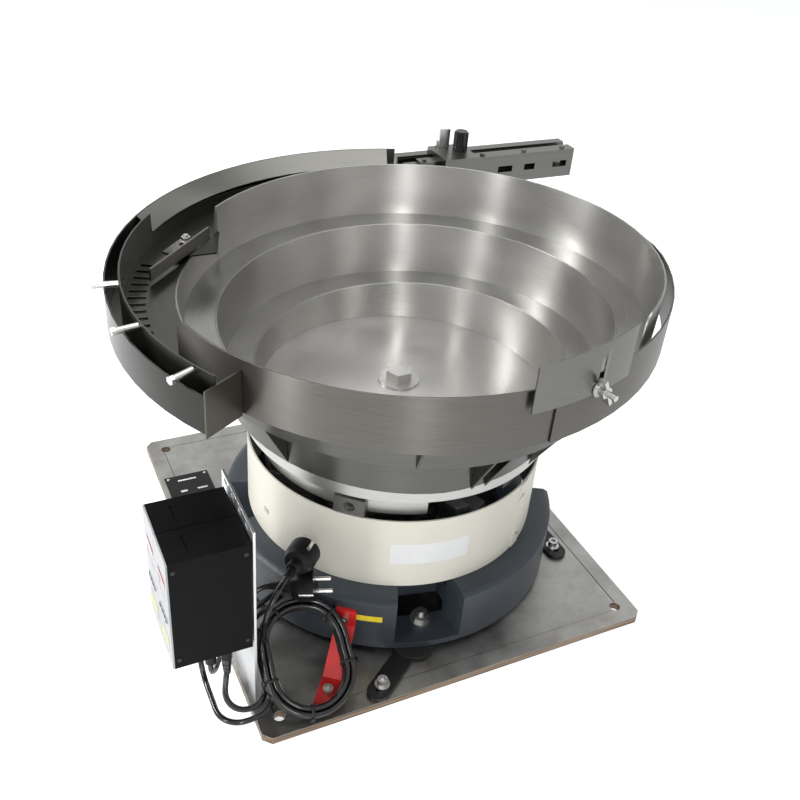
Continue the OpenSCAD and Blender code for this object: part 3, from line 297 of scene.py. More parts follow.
# %% The plug on its own axis
tail_end, rib_pitch = -39, 2.8
pin_apart, slot_y, spring_y = 19, 18.2, 16.6
tail_rings = []
for i in range(5):
    rib_r, groove_r, z = 4.1 + 0.25 * i, 3.5 + 0.25 * i, tail_end + i * rib_pitch
    tail_rings += [(rib_r, z), (rib_r, z + 1.7), (groove_r, z + 1.75), (groove_r, z + 2.75)]
plug_outline = [
    (0, tail_end), *tail_rings, (5.4, -25), (7.4, -24), (8.0, -22.5), (8.0, -14),
    (9, -13.4), (13.4, -13), (14.6, -12.4), (17.6, -5.6), (18, -4.4), (18, 12.2), (17.2, 13),
    (0, 13),
]
pin_outline = [(0, 12), (3.2, 12), (3.2, 14), (2.4, 14.2), (2.4, 30.6), (1.9, 31.6), (0, 32)]
plug_body = turned("plug_body", plug_outline, 56)
plug_body = cut(plug_body, [block("slot", (6, 6, 20), (0, s * slot_y, 5.1)) for s in (-1, 1)])
select_only(plug_body)
bpy.ops.object.shade_smooth_by_angle(angle=math.radians(32))
deselect()
pins = [turned("pin", pin_outline, 28) for _ in (0, 1)]
for s, pin in zip((-1, 1), pins):
    apply_place(pin, Matrix.Translation((s * pin_apart / 2 * MM, 0, 0)))
springs = [block("spring", (3.8, 0.8, 17), (0, s * spring_y, 4.4), 0.3) for s in (-1, 1)]
plug_metal = joined("plug_metal", pins + springs)
print("plug faces", len(plug_body.data.polygons), len(plug_metal.data.polygons))


# %% Both plugs in their places
def plug_place(centre, tip_deg, turn_deg, spin_deg):
    m = Matrix.Translation(Vector(centre) * MM)
    for angle, axis in ((turn_deg, "Z"), (tip_deg, "Y"), (spin_deg, "Z")):
        m = m @ Matrix.Rotation(math.radians(angle), 4, axis)
    return m


plugs = {}
for name, centre, tip_deg, turn_deg, spin_deg in (
    ("lower", (-175.8, -150.9, 111.8), 81, -28, 0),
    ("upper", (-177, -143, 148.8), 96, 47, -60),
):
    place = plug_place(centre, tip_deg, turn_deg, spin_deg)
    body = apply_place(copy_of(plug_body, "plug_" + name), place)
    metal = apply_place(copy_of(plug_metal, "plug_pins_" + name), place)
    tail = place @ Vector((0, 0, tail_end * MM)) / MM
    inside = place @ Vector((0, 0, (tail_end + 12) * MM)) / MM
    plugs[name] = (body, metal, tail, inside)
    print(name, "tail at", [round(v, 1) for v in tail])
bpy.data.objects.remove(plug_body)
bpy.data.objects.remove(plug_metal)


# %% Both leads, with a tapered sleeve under each gland
def behind(side, reach):
    """A point on a plug's axis, behind its tail."""
    tail, inside = plugs[side][2:]
    return tail + (tail - inside).normalized() * reach


def to_plug(turned_part, side, along, radius, reach):
    """From the end of the winding, along the coil, and square into a plug's tail."""
    return [turned_part[-1], coil_point(along, radius, last_h), behind(side, reach), plugs[side][2]]


near_turns, far_turns = winding(outer_r), winding(inner_r)
near_tail = to_plug(near_turns, "upper", 22, outer_r, 45)
far_tail = to_plug(far_turns, "lower", 30, inner_r, 70)
near_points = (rounded(near_start, 24) + near_turns
               + rounded(near_tail, 25)[1:] + [plugs["upper"][3]])
far_points = (rounded(far_start, 27) + far_turns
              + rounded(far_tail, 26)[1:] + [plugs["lower"][3]])
near_lead = lead_curve("lead_near", near_points, lead_d)
far_lead = lead_curve("lead_far", far_points, lead_d)
sleeve_outline = [
    (3.3, -24), (4.0, -24), (4.1, -20.5), (3.7, -20.3), (3.8, -18.6), (4.5, -18.4), (4.6, -14.6),
    (4.2, -14.4), (4.3, -12.6), (5.0, -12.4), (5.1, -8.6), (4.7, -8.4), (4.8, -6.4), (5.6, -6.2),
    (5.8, 0), (3.3, 0.4),
]


def sleeve(name, gland):
    """A ribbed sleeve that hangs under a gland and tapers onto the lead."""
    piece = turned(name, sleeve_outline, 24)
    return apply_place(piece, Matrix.Translation(Vector((*gland, gland_end)) * MM))


near_sleeve = sleeve("sleeve_near", near_gland)
far_sleeve = sleeve("sleeve_far", far_gland)
print("leads drawn through", len(near_points), "and", len(far_points), "points")

# %% [markdown]
# ## The output leads
# From each controller a thinner lead runs through the window in the bracket and
# into the casting, to the magnet. Both ends go into something.

# %% Output leads
output_d = 6
inlet_r, inlet_bearing = 211, math.radians(-153.5)
output_points = {
    "near": [
        (gland_x - 1, near_gland[1], gland_end),
        (gland_x - 1, near_gland[1] + 1.4, 75), (-290, -186, 58), (-276, -162, 50),
        (-251, -140, 48), (-222, -122, 50), (-184.5, -102.3, 52),
    ],
    "far": [
        (gland_x + 17, far_gland[1], gland_end),
        (gland_x + 17.6, far_gland[1] + 1, 75), (-272, -134, 60), (-251, -126, 48), (-222, -110, 50),
        (inlet_r * math.cos(inlet_bearing), inlet_r * math.sin(inlet_bearing), 52),
    ],
}
output_leads = {side: (lead_curve("output_lead_" + side, points, output_d), points)
                for side, points in output_points.items()}
print("output leads", list(output_leads))

# %% [markdown]
# ## The cable ties
# A tie is a flat band pulled tight round whatever it holds, so its path is the
# tightest outline round the leads at that place. That outline is a convex hull,
# worked out from the round sections of the leads, and drawn as a flat curve with
# a width. Solidify gives the band its thickness, and a small block is its lock.


# %% The outline round the leads at one place
def turns_right(a, b, c):
    """Whether a path from a to b to c keeps straight on or bends to the right."""
    return (b[0] - a[0]) * (c[1] - a[1]) - (b[1] - a[1]) * (c[0] - a[0]) <= 0


def hull(points):
    """The tightest outline round some points, anticlockwise."""
    points = sorted(set((round(x, 4), round(y, 4)) for x, y in points))

    def half(seq):
        out = []
        for p in seq:
            while len(out) > 1 and turns_right(out[-2], out[-1], p):
                out.pop()
            out.append(p)
        return out[:-1]
    return half(points) + half(points[::-1])


def section(side, angle):
    """Centres of the leads, out from the winding's axis and up from its plane."""
    if side > 0:
        steps = 1 + (90 - angle) / step_angle
    else:
        steps = 11 + (-90 - (angle - 360 if angle > 0 else angle)) / step_angle
    return [(r, first_h + pitch * (steps / turn_steps + k))
            for r in (outer_r, inner_r) for k in range(turns)]


print("leads under a tie", len(section(1, 0)))


# %% A band with a lock
def tie(name, side, angle, more=()):
    """A tie at an angle round one end of the coil, with any more leads it holds."""
    reach = lead_d / 2 + 0.3
    ring = hull([(r + reach * math.cos(t * math.pi / 6), h + reach * math.sin(t * math.pi / 6))
                 for r, h in [*section(side, angle), *more] for t in range(12)])
    data = bpy.data.curves.new(name, "CURVE")
    data.dimensions = "2D"
    data.fill_mode = "NONE"
    data.extrude = 1.8 * MM
    spline = data.splines.new("POLY")
    spline.points.add(len(ring) - 1)
    for p, (r, h) in zip(spline.points, ring):
        p.co = (r * MM, h * MM, 0, 1)
    spline.use_cyclic_u = True
    band = linked(name, data)
    bpy.context.view_layer.objects.active = band
    band.select_set(True)
    bpy.ops.object.convert(target="MESH")
    m = band.modifiers.new("thick", "SOLIDIFY")
    m.thickness, m.offset = 1.1 * MM, 1
    bpy.ops.object.modifier_apply(modifier=m.name)
    top = max(h for r, h in ring) * 0.35
    outer = max(r for r, h in ring)
    lock = block("lock", (4.6, 3.6, 5.2), (outer + 1.4, top, 0), 0.5)
    end = block("end", (1.2, 9, 3.4), (outer + 1.9, top + 5, 0), 0.3)
    piece = joined(name, [band, lock, end])
    a = math.radians(angle)
    out = coil_x * math.cos(a) + coil_y * math.sin(a)
    place = Matrix((out, coil_z, out.cross(coil_z))).transposed().to_4x4()
    place.translation = (coil_c + coil_x * (side * coil_half)) * MM
    return apply_place(piece, place)


tie_places = [(1, 29), (-1, 93), (-1, 168.5), (-1, -92), (1, -56)]
incoming = {93: [(outer_r, first_h), (inner_r, first_h)]}
ties = [tie("tie_%d" % (i + 1), side, angle, incoming.get(angle, ()))
        for i, (side, angle) in enumerate(tie_places)]
print("ties", len(ties))

for piece in (near_lead, far_lead, near_sleeve, far_sleeve, *ties):
    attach(piece, "drive")
for body, metal, *_ in plugs.values():
    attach(body, "drive")
    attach(metal, "drive")
for piece, _ in output_leads.values():
    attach(piece, "drive")
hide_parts("mains_lead_near", "mains_coil")
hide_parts("mains_lead_far")
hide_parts("coil_ties")
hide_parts("mains_plug_upper")
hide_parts("mains_plug_lower")
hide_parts("output_leads")


def drawn_length(piece):
    """Length of a curve as it is drawn, in metres."""
    total = 0
    bends = piece.data.splines[0].bezier_points
    for a, b in zip(bends, bends[1:]):
        run = interpolate_bezier(a.co, a.handle_right, b.handle_left, b.co, 12)
        total += sum((q - p).length for p, q in zip(run, run[1:]))
    return total


bpy.context.view_layer.update()
near_length, far_length = (round(drawn_length(lead), 2) for lead in (near_lead, far_lead))
print("drawn", near_length, far_length)
for piece, points in output_leads.values():
    round(drawn_length(piece), 3)

# %% [markdown]
# ## Small fittings
# These are the little things that make a machine look real: display windows
# and key caps on the controllers, pan-head screws in their sides, rivets in the
# data plate, and blank labels. No words or marks are put on any of them.


# %% Labels that follow a round wall
def curved_plate(name, radius, angles, heights, thick):
    """A thin plate wrapped round Z, from its two angles in degrees and two heights."""
    (start, end), (low, high) = angles, heights
    bpy.ops.mesh.primitive_grid_add(x_subdivisions=28, y_subdivisions=1, size=1)
    piece = bpy.context.object
    piece.name = name
    for v in piece.data.vertices:
        a = math.radians(start + (v.co.x + 0.5) * (end - start))
        z = low + (v.co.y + 0.5) * (high - low)
        v.co = (radius * MM * math.cos(a), radius * MM * math.sin(a), z * MM)
    solid = piece.modifiers.new("thickness", "SOLIDIFY")
    solid.thickness, solid.offset = thick * MM, 1
    bpy.ops.object.modifier_apply(modifier="thickness")
    bpy.ops.object.shade_smooth_by_angle(angle=math.radians(30))
    deselect()
    return piece


print("labels lie on the shroud at", shroud_r, "and the casting at", casting_r, "mm")


# %% Screw and rivet heads
def pan_head(name, centre, across, axis):
    """A low domed head on an axis, with its centre on the surface it sits on."""
    bpy.ops.mesh.primitive_uv_sphere_add(segments=20, ring_count=10, radius=across / 2 * MM)
    piece = bpy.context.object
    piece.name = name
    piece.scale = (1, 1, 0.45)
    piece.rotation_euler = Vector(axis).to_track_quat("Z", "Y").to_euler()
    piece.location = Vector(centre) * MM
    bpy.ops.object.transform_apply(location=True, rotation=True, scale=True)
    bpy.ops.object.shade_smooth()
    deselect()
    return piece


print("a head's height is 0.45 of its half width")

# %% Controllers: windows, key caps, strips and screws
front_x, panel_w, key_pitch = -338, 46, 8
window_z, keys_z, strip_z = 212, 165.5, 133
case_side = -209
fronts = {"near": case_side, "far": -162}
windows, strips, keys = [], [], []
for side, y in fronts.items():
    middle = y + panel_w / 2
    window_c, strip_c = (front_x + 0.25, middle, window_z), (front_x - 0.75, middle, strip_z)
    windows.append(block("display_" + side, (0.9, 27, 9.5), window_c, 0.2))
    strips.append(block("marking_" + side, (0.4, 26, 6), strip_c, 0.1))
    caps = [block("key", (0.5, 4, 4), (front_x - 1.2, y + 11.5 + key_pitch * i, keys_z), 0.15)
            for i in range(4)]
    keys.append(joined("keys_" + side, caps))
case_screws = joined("case_screws", [
    pan_head("screw", (x, case_side, z), 5, (0, -1, 0)) for x in (-331, -259) for z in (117, 238)])
print("controller fittings", [o.name for o in windows + strips + keys + [case_screws]])

# %% Labels and rivets
shroud_label = curved_plate("shroud_label", shroud_r, (-115.3, -86), (125.5, 155.5), 0.25)
casting_label = curved_plate("casting_label", casting_r, (-124.4, -116.2), (60.5, 68.5), 0.4)
shroud_tag = curved_plate("shroud_tag", shroud_r, (-170.6, -167.6), (126, 133), 0.5)
rivet_z, field_z = 11, 11.1
rivets = joined("plate_rivets", [
    pan_head("rivet", (x, y, rivet_z), 4.5, (0, 0, 1)) for x in (-247, -195) for y in (159, 203)])
field_places = (((9, 4), (-232, 172)), ((26, 3), (-222, 196)), ((14, 3), (-206, 172)))
fields = joined("plate_fields", [
    block("field", (*size, 0.3), (*middle, field_z), 0.05) for size, middle in field_places])
print("labels", [o.name for o in (shroud_label, casting_label, shroud_tag, rivets, fields)])

# %% They all move with the drive
fittings = [*windows, *strips, *keys, case_screws, shroud_label, casting_label, shroud_tag, rivets,
            fields]
for piece in fittings:
    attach(piece, "drive")
print("fittings on the drive", len(fittings))

# %% [markdown]
# ## Materials: the helpers
# Every finish here is a Principled shader fed by noise: one noise varies the
# roughness, one the colour, and a fine one gives the bump. They read Object
# coordinates, because each piece sits at the origin and so the pattern keeps
# its real size on every piece. A scale here is a number of repeats to a metre.


# %% Materials, nodes and links
def shader_of(mat):
    return mat.node_tree.nodes["Principled BSDF"]


def new_material(name, colour, rough, metal=0.0, **sockets):
    mat = bpy.data.materials.new(name)
    mat.use_nodes = True
    inputs = shader_of(mat).inputs
    inputs["Base Color"].default_value = (*colour, 1)
    inputs["Roughness"].default_value = rough
    inputs["Metallic"].default_value = metal
    for socket, value in sockets.items():
        inputs[socket.replace("_", " ")].default_value = value
    return mat


def add(owner, kind, **values):
    """A node in a material or world; a value is one of its settings or its sockets."""
    node = owner.node_tree.nodes.new("ShaderNode" + kind)
    for name, value in values.items():
        if hasattr(node, name):
            setattr(node, name, value)
        else:
            node.inputs[name.replace("_", " ")].default_value = value
    return node


def link(owner, out, into):
    owner.node_tree.links.new(out, into)


def maths(owner, operation, *terms, kind="Math"):
    """A maths node; a term is a plain value or another node's output."""
    node = add(owner, kind, operation=operation)
    places = (0, 3) if operation == "SCALE" else (0, 1, 2)
    for place, term in zip(places, terms):
        if isinstance(term, bpy.types.NodeSocket):
            link(owner, term, node.inputs[place])
        else:
            node.inputs[place].default_value = term
    gives_number = kind == "Math" or operation in ("LENGTH", "DOT_PRODUCT")
    return node.outputs["Value" if gives_number else "Vector"]


def vectors(owner, operation, *terms):
    return maths(owner, operation, *terms, kind="VectorMath")


print("materials before the finishes", len(bpy.data.materials))


# %% Coordinates for straight and for turned grain
def stretched(mat, scale):
    """Object coordinates times a scale for each axis."""
    mapping = add(mat, "Mapping")
    mapping.inputs["Scale"].default_value = scale
    link(mat, add(mat, "TexCoord").outputs["Object"], mapping.inputs["Vector"])
    return mapping.outputs["Vector"]


def from_axis(mat):
    """Object coordinates, their part square to Z, and the direction of that part."""
    coord = add(mat, "TexCoord").outputs["Object"]
    flat = vectors(mat, "MULTIPLY", coord, (1, 1, 0))
    return coord, flat, vectors(mat, "NORMALIZE", flat)


def round_grain(mat, along, across):
    """Coordinates long round Z and short up and out, so noise becomes turned lines."""
    coord, flat, outward = from_axis(mat)
    parts = add(mat, "SeparateXYZ")
    link(mat, coord, parts.inputs[0])
    height = maths(mat, "ADD", parts.outputs["Z"], vectors(mat, "LENGTH", flat))
    up_only = add(mat, "CombineXYZ")
    link(mat, maths(mat, "MULTIPLY", height, across), up_only.inputs["Z"])
    return vectors(mat, "ADD", vectors(mat, "SCALE", outward, along), up_only.outputs["Vector"])


print("axis of the turned grain: Z, through the origin")


# %% Noise into roughness, colour and bump
def noise(mat, vector, detail, roughness):
    n = add(mat, "TexNoise", Scale=1.0, Detail=detail, Roughness=roughness)
    link(mat, vector, n.inputs["Vector"])
    return n.outputs["Fac"]


def spans(mat, fac, low, high, into, start=0.3, stop=0.7):
    """Sends a noise to a socket as a number between low and high."""
    m = add(mat, "MapRange", From_Min=start, From_Max=stop, To_Min=low, To_Max=high)
    link(mat, fac, m.inputs["Value"])
    link(mat, m.outputs["Result"], into)


def tinted(mat, fac, stops, into=None):
    """A colour ramp from a noise to the base colour, as (place, colour) stops."""
    ramp = add(mat, "ValToRGB")
    for e, (place, colour) in zip(ramp.color_ramp.elements, stops):
        e.position, e.color = place, (*colour, 1)
    for place, colour in stops[2:]:
        ramp.color_ramp.elements.new(place).color = (*colour, 1)
    link(mat, fac, ramp.inputs["Fac"])
    link(mat, ramp.outputs["Color"], into or shader_of(mat).inputs["Base Color"])
    return ramp.outputs["Color"]


def bumped(mat, fac, depth, strength=1.0):
    """Bump of a depth in millimetres; a second call adds to the first."""
    b = add(mat, "Bump", Strength=strength, Distance=depth * MM)
    link(mat, fac, b.inputs["Height"])
    normal = shader_of(mat).inputs["Normal"]
    if normal.links:
        link(mat, normal.links[0].from_socket, b.inputs["Normal"])
    link(mat, b.outputs["Normal"], normal)


def lighter(colour, k):
    return tuple(min(1, c * k) for c in colour)


print("a fifth lighter than mid grey:", lighter((0.5, 0.5, 0.5), 1.2))

# %% [markdown]
# ## Turned and brushed steel
# The bowl is rolled stainless sheet. Its grain runs round the axis, so a light
# is drawn out into an upright streak. Two things do that: fine noise lines that
# run round the axis, and the shader's own anisotropy about a radial tangent.
# Faces that look away from the axis are darkened as painted shade between the
# walls, and the way a face looks, towards the axis or away from it, decides it.


# %% Bowl steel, brushed round the axis
# Darkens the faces that look away from the axis by k: painted shade between the walls.
def outside_painted_shade(mat, colour, k):
    outward = from_axis(mat)[2]
    side = vectors(mat, "DOT_PRODUCT", outward, add(mat, "NewGeometry").outputs["Normal"])
    scaled = add(mat, "VectorMath", operation="SCALE")
    link(mat, colour, scaled.inputs[0])
    spans(mat, side, 1.0, k, scaled.inputs["Scale"], -0.3, 0.3)
    link(mat, scaled.outputs["Vector"], shader_of(mat).inputs["Base Color"])


def round_steel(name, colour, rough, anisotropy, grain=900, cloud=6, outside=1.0):
    """Turned steel, whose outside faces keep a part of its colour as painted shade; rough is from
    and to.
    """
    mat = new_material(name, colour, sum(rough) / 2, 1.0)
    shader = shader_of(mat)
    shader.inputs["Anisotropic"].default_value = anisotropy
    shader.inputs["Anisotropic Rotation"].default_value = 0.25
    tangent = add(mat, "Tangent", direction_type="RADIAL", axis="Z")
    link(mat, tangent.outputs["Tangent"], shader.inputs["Tangent"])
    lines = noise(mat, round_grain(mat, 7, grain), 3, 0.6)
    clouds = noise(mat, stretched(mat, (cloud, cloud, cloud * 1.6)), 2, 0.45)
    spans(mat, clouds, *rough, shader.inputs["Roughness"], 0.2, 0.8)
    mixed = maths(mat, "MULTIPLY_ADD", lines, 0.55, maths(mat, "MULTIPLY", clouds, 0.45))
    tint = tinted(mat, mixed, [
        (0.30, lighter(colour, 0.84)), (0.5, colour), (0.70, lighter(colour, 1.12))])
    # outside below 1 paints shade on the faces that look away from the axis
    if outside < 1:
        outside_painted_shade(mat, tint, outside)
    bumped(mat, lines, 0.03, 0.3)
    return mat


# One stainless sheet in several copies whose base colours are painted light and shade: the bands,
# bowl track, pan floor, guide walls, end plate and deflector are darker copies, which is painted
# shade, not a different steel.
bowl_steel = round_steel("bowl_steel", (0.44, 0.435, 0.42), (0.25, 0.38), 0.9, outside=0.27)
band_steel = round_steel("band_steel", (0.13, 0.126, 0.115), (0.32, 0.44), 0.92, 850, 5)
floor_steel = round_steel("bowl_floor_steel", (0.46, 0.455, 0.44), (0.30, 0.46), 0.4, 1300, 9)
tier_steel = round_steel("tier_steel", (0.30, 0.297, 0.285), (0.26, 0.40), 0.45, 1100, 12)
track_steel = round_steel("track_steel", (0.19, 0.188, 0.175), (0.28, 0.42), 0.45, 1100, 12)
guide_steel = round_steel("guide_wall_steel", (0.125, 0.124, 0.114), (0.22, 0.36), 0.8, 800, 5,
                          outside=0.22)
end_steel = round_steel("end_plate_steel", (0.095, 0.087, 0.075), (0.26, 0.4), 0.3, 1200, 14)
deflector_steel = round_steel("deflector_steel", (0.018, 0.018, 0.016), (0.26, 0.4), 0.3, 1200, 14)
print("round steels", [m.name for m in (bowl_steel, band_steel, floor_steel, tier_steel,
                                         track_steel, guide_steel, end_steel, deflector_steel)])


# %% Plate and bar steel, with a straight grain
def plain_steel(name, colour, rough, grain, cloud, depth=0.04):
    """Steel with a straight grain, which is long where the grain's number is small."""
    mat = new_material(name, colour, sum(rough) / 2, 1.0)
    lines = noise(mat, stretched(mat, grain), 3, 0.6)
    clouds = noise(mat, stretched(mat, (cloud,) * 3), 6, 0.65)
    spans(mat, clouds, *rough, shader_of(mat).inputs["Roughness"])
    tinted(mat, maths(mat, "ADD", lines, clouds), [(0.7, lighter(colour, 0.82)), (1.0, colour)])
    bumped(mat, lines, depth, 0.35)
    return mat


rail_steel = plain_steel("rail_steel", (0.15, 0.148, 0.14), (0.22, 0.36), (18, 900, 900), 9)
zinc = plain_steel("zinc_steel", (0.52, 0.515, 0.50), (0.24, 0.40), (260, 260, 260), 60)
plate_alu = plain_steel("milled_aluminium", (0.62, 0.63, 0.64), (0.30, 0.44), (900, 900, 22), 12)
pin_metal = plain_steel("plug_pin_nickel", (0.80, 0.79, 0.75), (0.14, 0.24), (500, 500, 60), 40,
                        depth=0.01)
spring_steel = plain_steel("spring_steel", (0.20, 0.20, 0.21), (0.34, 0.5), (900, 900, 40), 30)
print("straight steels made")

# %% [markdown]
# ## The base plate
# The plate is ground steel: bright and slightly streaked on top, with brown
# stains of light rust where it was cut, on its edges. One material does both:
# the upward part of the normal picks ground steel, and the rest the stained
# edge, broken up with noise.

# %% Ground plate with stained edges
base_steel = new_material("base_plate_steel", (0.5, 0.5, 0.49), 0.4, 1.0)
shader = shader_of(base_steel)
streaks = noise(base_steel, stretched(base_steel, (7, 420, 420)), 5, 0.62)
patches = noise(base_steel, stretched(base_steel, (14, 14, 14)), 7, 0.66)
facing = add(base_steel, "SeparateXYZ")
link(base_steel, add(base_steel, "NewGeometry").outputs["Normal"], facing.inputs[0])
blend = add(base_steel, "Mix", data_type="RGBA")
which, edge_colour, top_colour = (blend.inputs[i] for i in (0, 6, 7))
spans(base_steel, facing.outputs["Z"], 0, 1, which, 0.5, 0.9)
tinted(base_steel, streaks, [(0.38, (0.10, 0.068, 0.045)), (0.66, (0.30, 0.235, 0.175))],
       edge_colour)
tinted(base_steel, patches, [(0.36, (0.25, 0.245, 0.235)), (0.64, (0.39, 0.39, 0.375))],
       top_colour)
link(base_steel, blend.outputs[2], shader.inputs["Base Color"])
spans(base_steel, patches, 0.30, 0.50, shader.inputs["Roughness"])
bumped(base_steel, streaks, 0.06, 0.3)
print("base plate steel made")

# %% [markdown]
# ## Paints, plastics and rubber
# Paint hides the metal, so it is not metallic: it takes its look from its
# colour, a little variation in gloss, and the texture of how it was put on.
# The casting's paint is hammered, which a cell pattern gives; powder coat and
# moulded plastic have a fine grain. Every row below is one finish: its colour,
# its roughness from and to, its grain with that grain's depth in millimetres,
# and its clouds with how dark the darkest one is.


# %% Paint and plastic helper
def coated(name, colour, rough, grain, cloud=(14, 0.9), **sockets):
    (grain_scale, depth), (cloud_scale, change) = grain, cloud
    mat = new_material(name, colour, sum(rough) / 2, 0.0, **sockets)
    clouds = noise(mat, stretched(mat, (cloud_scale,) * 3), 6, 0.6)
    spans(mat, clouds, *rough, shader_of(mat).inputs["Roughness"])
    tinted(mat, clouds, [(0.35, lighter(colour, change)), (0.65, lighter(colour, 2 - change))])
    bumped(mat, noise(mat, stretched(mat, (grain_scale,) * 3), 2, 0.5), depth, 0.5)
    return mat


casting_paint = coated("hammered_paint", (0.036, 0.044, 0.054), (0.30, 0.46), (900, 0.04),
                       (11, 0.82), Specular_IOR_Level=0.4)
shroud_paint = coated("cream_powder_coat", (0.74, 0.715, 0.62), (0.36, 0.48), (1400, 0.04),
                      (8, 0.97))
red_paint = coated("red_enamel", (0.62, 0.022, 0.020), (0.24, 0.38), (500, 0.05), (30, 0.86))
panel_paint = coated("panel_grey", (0.40, 0.41, 0.42), (0.36, 0.5), (1500, 0.03))
controller_black = coated("controller_black", (0.006, 0.006, 0.006), (0.4, 0.55), (1500, 0.06),
                          (10, 0.8), Specular_IOR_Level=0.05)
moulded_black = coated("moulded_black", (0.009, 0.009, 0.010), (0.34, 0.46), (1600, 0.04),
                       (20, 0.85), Specular_IOR_Level=0.16)
knob_black = coated("knob_black", (0.016, 0.016, 0.017), (0.22, 0.34), (900, 0.03),
                    (25, 0.85), Specular_IOR_Level=0.3)
rubber = coated("foot_rubber", (0.020, 0.020, 0.020), (0.62, 0.8), (800, 0.12),
                (20, 0.75), Specular_IOR_Level=0.15)
lead_black = coated("lead_sheath", (0.005, 0.005, 0.005), (0.13, 0.20), (700, 0.01),
                    (40, 0.85), Specular_IOR_Level=0.5)
tie_black = coated("tie_nylon", (0.016, 0.016, 0.017), (0.30, 0.42), (900, 0.03),
                   (40, 0.85), Specular_IOR_Level=0.25)
bolt_black = coated("black_oxide", (0.035, 0.035, 0.038), (0.30, 0.44), (1200, 0.04),
                    (60, 0.8), Metallic=0.85)
black_label = coated("black_plate", (0.013, 0.013, 0.014), (0.26, 0.38), (1500, 0.02),
                     (30, 0.85), Specular_IOR_Level=0.2)
white_label = coated("white_label", (0.80, 0.80, 0.79), (0.40, 0.5), (900, 0.02), (40, 0.97))
yellow_label = coated("yellow_label", (0.80, 0.62, 0.03), (0.38, 0.5), (900, 0.02), (40, 0.93))
red_window = coated("display_window", (0.30, 0.006, 0.006), (0.10, 0.16), (300, 0.01),
                    (60, 0.8), Coat_Weight=0.6)
core_steel = coated("laminated_core", (0.10, 0.10, 0.10), (0.4, 0.55), (1200, 0.05),
                    (30, 0.8), Metallic=0.6)
copper = coated("varnished_winding", (0.36, 0.13, 0.05), (0.26, 0.4), (900, 0.04),
                (40, 0.85), Coat_Weight=0.4)
print("paints and plastics made")


# %% Coarser patterns: hammered cells, the core's sheets and the winding's wires
def patterned(mat, scale, output, depth, strength, kind, **settings):
    texture = add(mat, kind, Scale=1.0, **settings)
    link(mat, stretched(mat, scale), texture.inputs["Vector"])
    bumped(mat, texture.outputs[output], depth, strength)


patterned(casting_paint, (210, 210, 210), "Distance", 0.5, 0.35, "TexVoronoi", feature="SMOOTH_F1")
patterned(core_steel, (0, 420, 0), "Fac", 0.2, 0.6, "TexWave",
          wave_type="BANDS", bands_direction="Y")
patterned(copper, (0, 0, 330), "Fac", 0.4, 0.8, "TexWave", wave_type="BANDS", bands_direction="Z")
print("patterns added")

# %% [markdown]
# ## Finishing the CAD pieces
# The steel shapes are right as they are, so each gets its material in its own
# slot. A weld modifier closes the loose triangles, and a small bevel catches
# the light along every sharp edge, as a broken edge on real sheet does.

# %% Materials and edges for the CAD nodes
finish_of = {
    base_steel: ("base_plate",),
    rubber: ("rubber_feet",),
    bolt_black: ("foot_clamps", "clamp_screws"),
    zinc: ("shroud_screws", "transport_bolts", "clamp_bolts", "pocket_bolts", "centre_bolt",
           "guide_standoffs", "gate_stud", "gate_nut", "wiper_post", "rail_pointer"),
    spring_steel: ("spring_packs", "spring_feet", "spring_heads"),
    casting_paint: ("drive_casting",),
    shroud_paint: ("shroud",),
    core_steel: ("magnet_core", "armature"),
    copper: ("magnet_coil",),
    red_paint: ("transport_bracket",),
    black_label: ("data_plate",),
    plate_alu: ("controller_bracket",),
    controller_black: ("controller_near", "controller_far"),
    panel_paint: ("control_panels",),
    moulded_black: ("cable_glands",),
    knob_black: ("rail_knob",),
    bowl_steel: ("inner_wall", "middle_wall", "outer_wall", "bowl_clamps"),
    band_steel: ("front_band", "right_band", "bowl_gussets", "wiper_bar"),
    end_steel: ("pan_end_plate",),
    deflector_steel: ("deflector_plate",),
    floor_steel: ("bowl_floor", "top_plate"),
    tier_steel: ("bowl_track",),
    track_steel: ("pan_floor",),
    guide_steel: ("guide_wall", "pan_wall", "outlet_track", "back_guard"),
    rail_steel: ("outlet_rail", "rail_cover", "rail_strap", "rail_clamp", "gate_plate"),
}
sheet_edge = 0.3
edge_of = {
    "controller_near": 1.2, "controller_far": 1.2, "base_plate": 0.5, "controller_bracket": 0.4,
    "drive_casting": 0.8, "rubber_feet": 1.0, "cable_glands": 0.3, "rail_knob": 0.4,
}
replaced = {
    "mains_lead_near", "mains_lead_far", "mains_coil", "coil_ties", "output_leads",
    "mains_plug_upper", "mains_plug_lower",
}


print("finishes for the CAD nodes", len(finish_of))


# %% Each node gets its finish and its edges
def give(piece, mat):
    """Makes one material the only one on a piece."""
    piece.data.materials.clear()
    piece.data.materials.append(mat)


def finish_node(name, mat):
    piece = nodes[name]
    give(piece, mat)
    select_only(piece)
    if piece.data.has_custom_normals:
        bpy.ops.mesh.customdata_custom_splitnormals_clear()
    bpy.ops.object.shade_smooth()
    deselect()
    weld = piece.modifiers.new("weld", "WELD")
    weld.merge_threshold = 1e-5
    bevel = piece.modifiers.new("edge", "BEVEL")
    bevel.width = edge_of.get(name, sheet_edge) * MM
    bevel.segments = 2
    bevel.limit_method, bevel.angle_limit = "ANGLE", math.radians(35)
    bevel.harden_normals = True
    bevel.use_clamp_overlap = True


for mat, names in finish_of.items():
    for name in names:
        finish_node(name, mat)
finished = {name for names in finish_of.values() for name in names}
print("nodes finished", len(finished), "left", sorted(set(nodes) - finished - replaced))


# %% Materials for the pieces made so far
def paint(piece, mat):
    give(piece, mat)


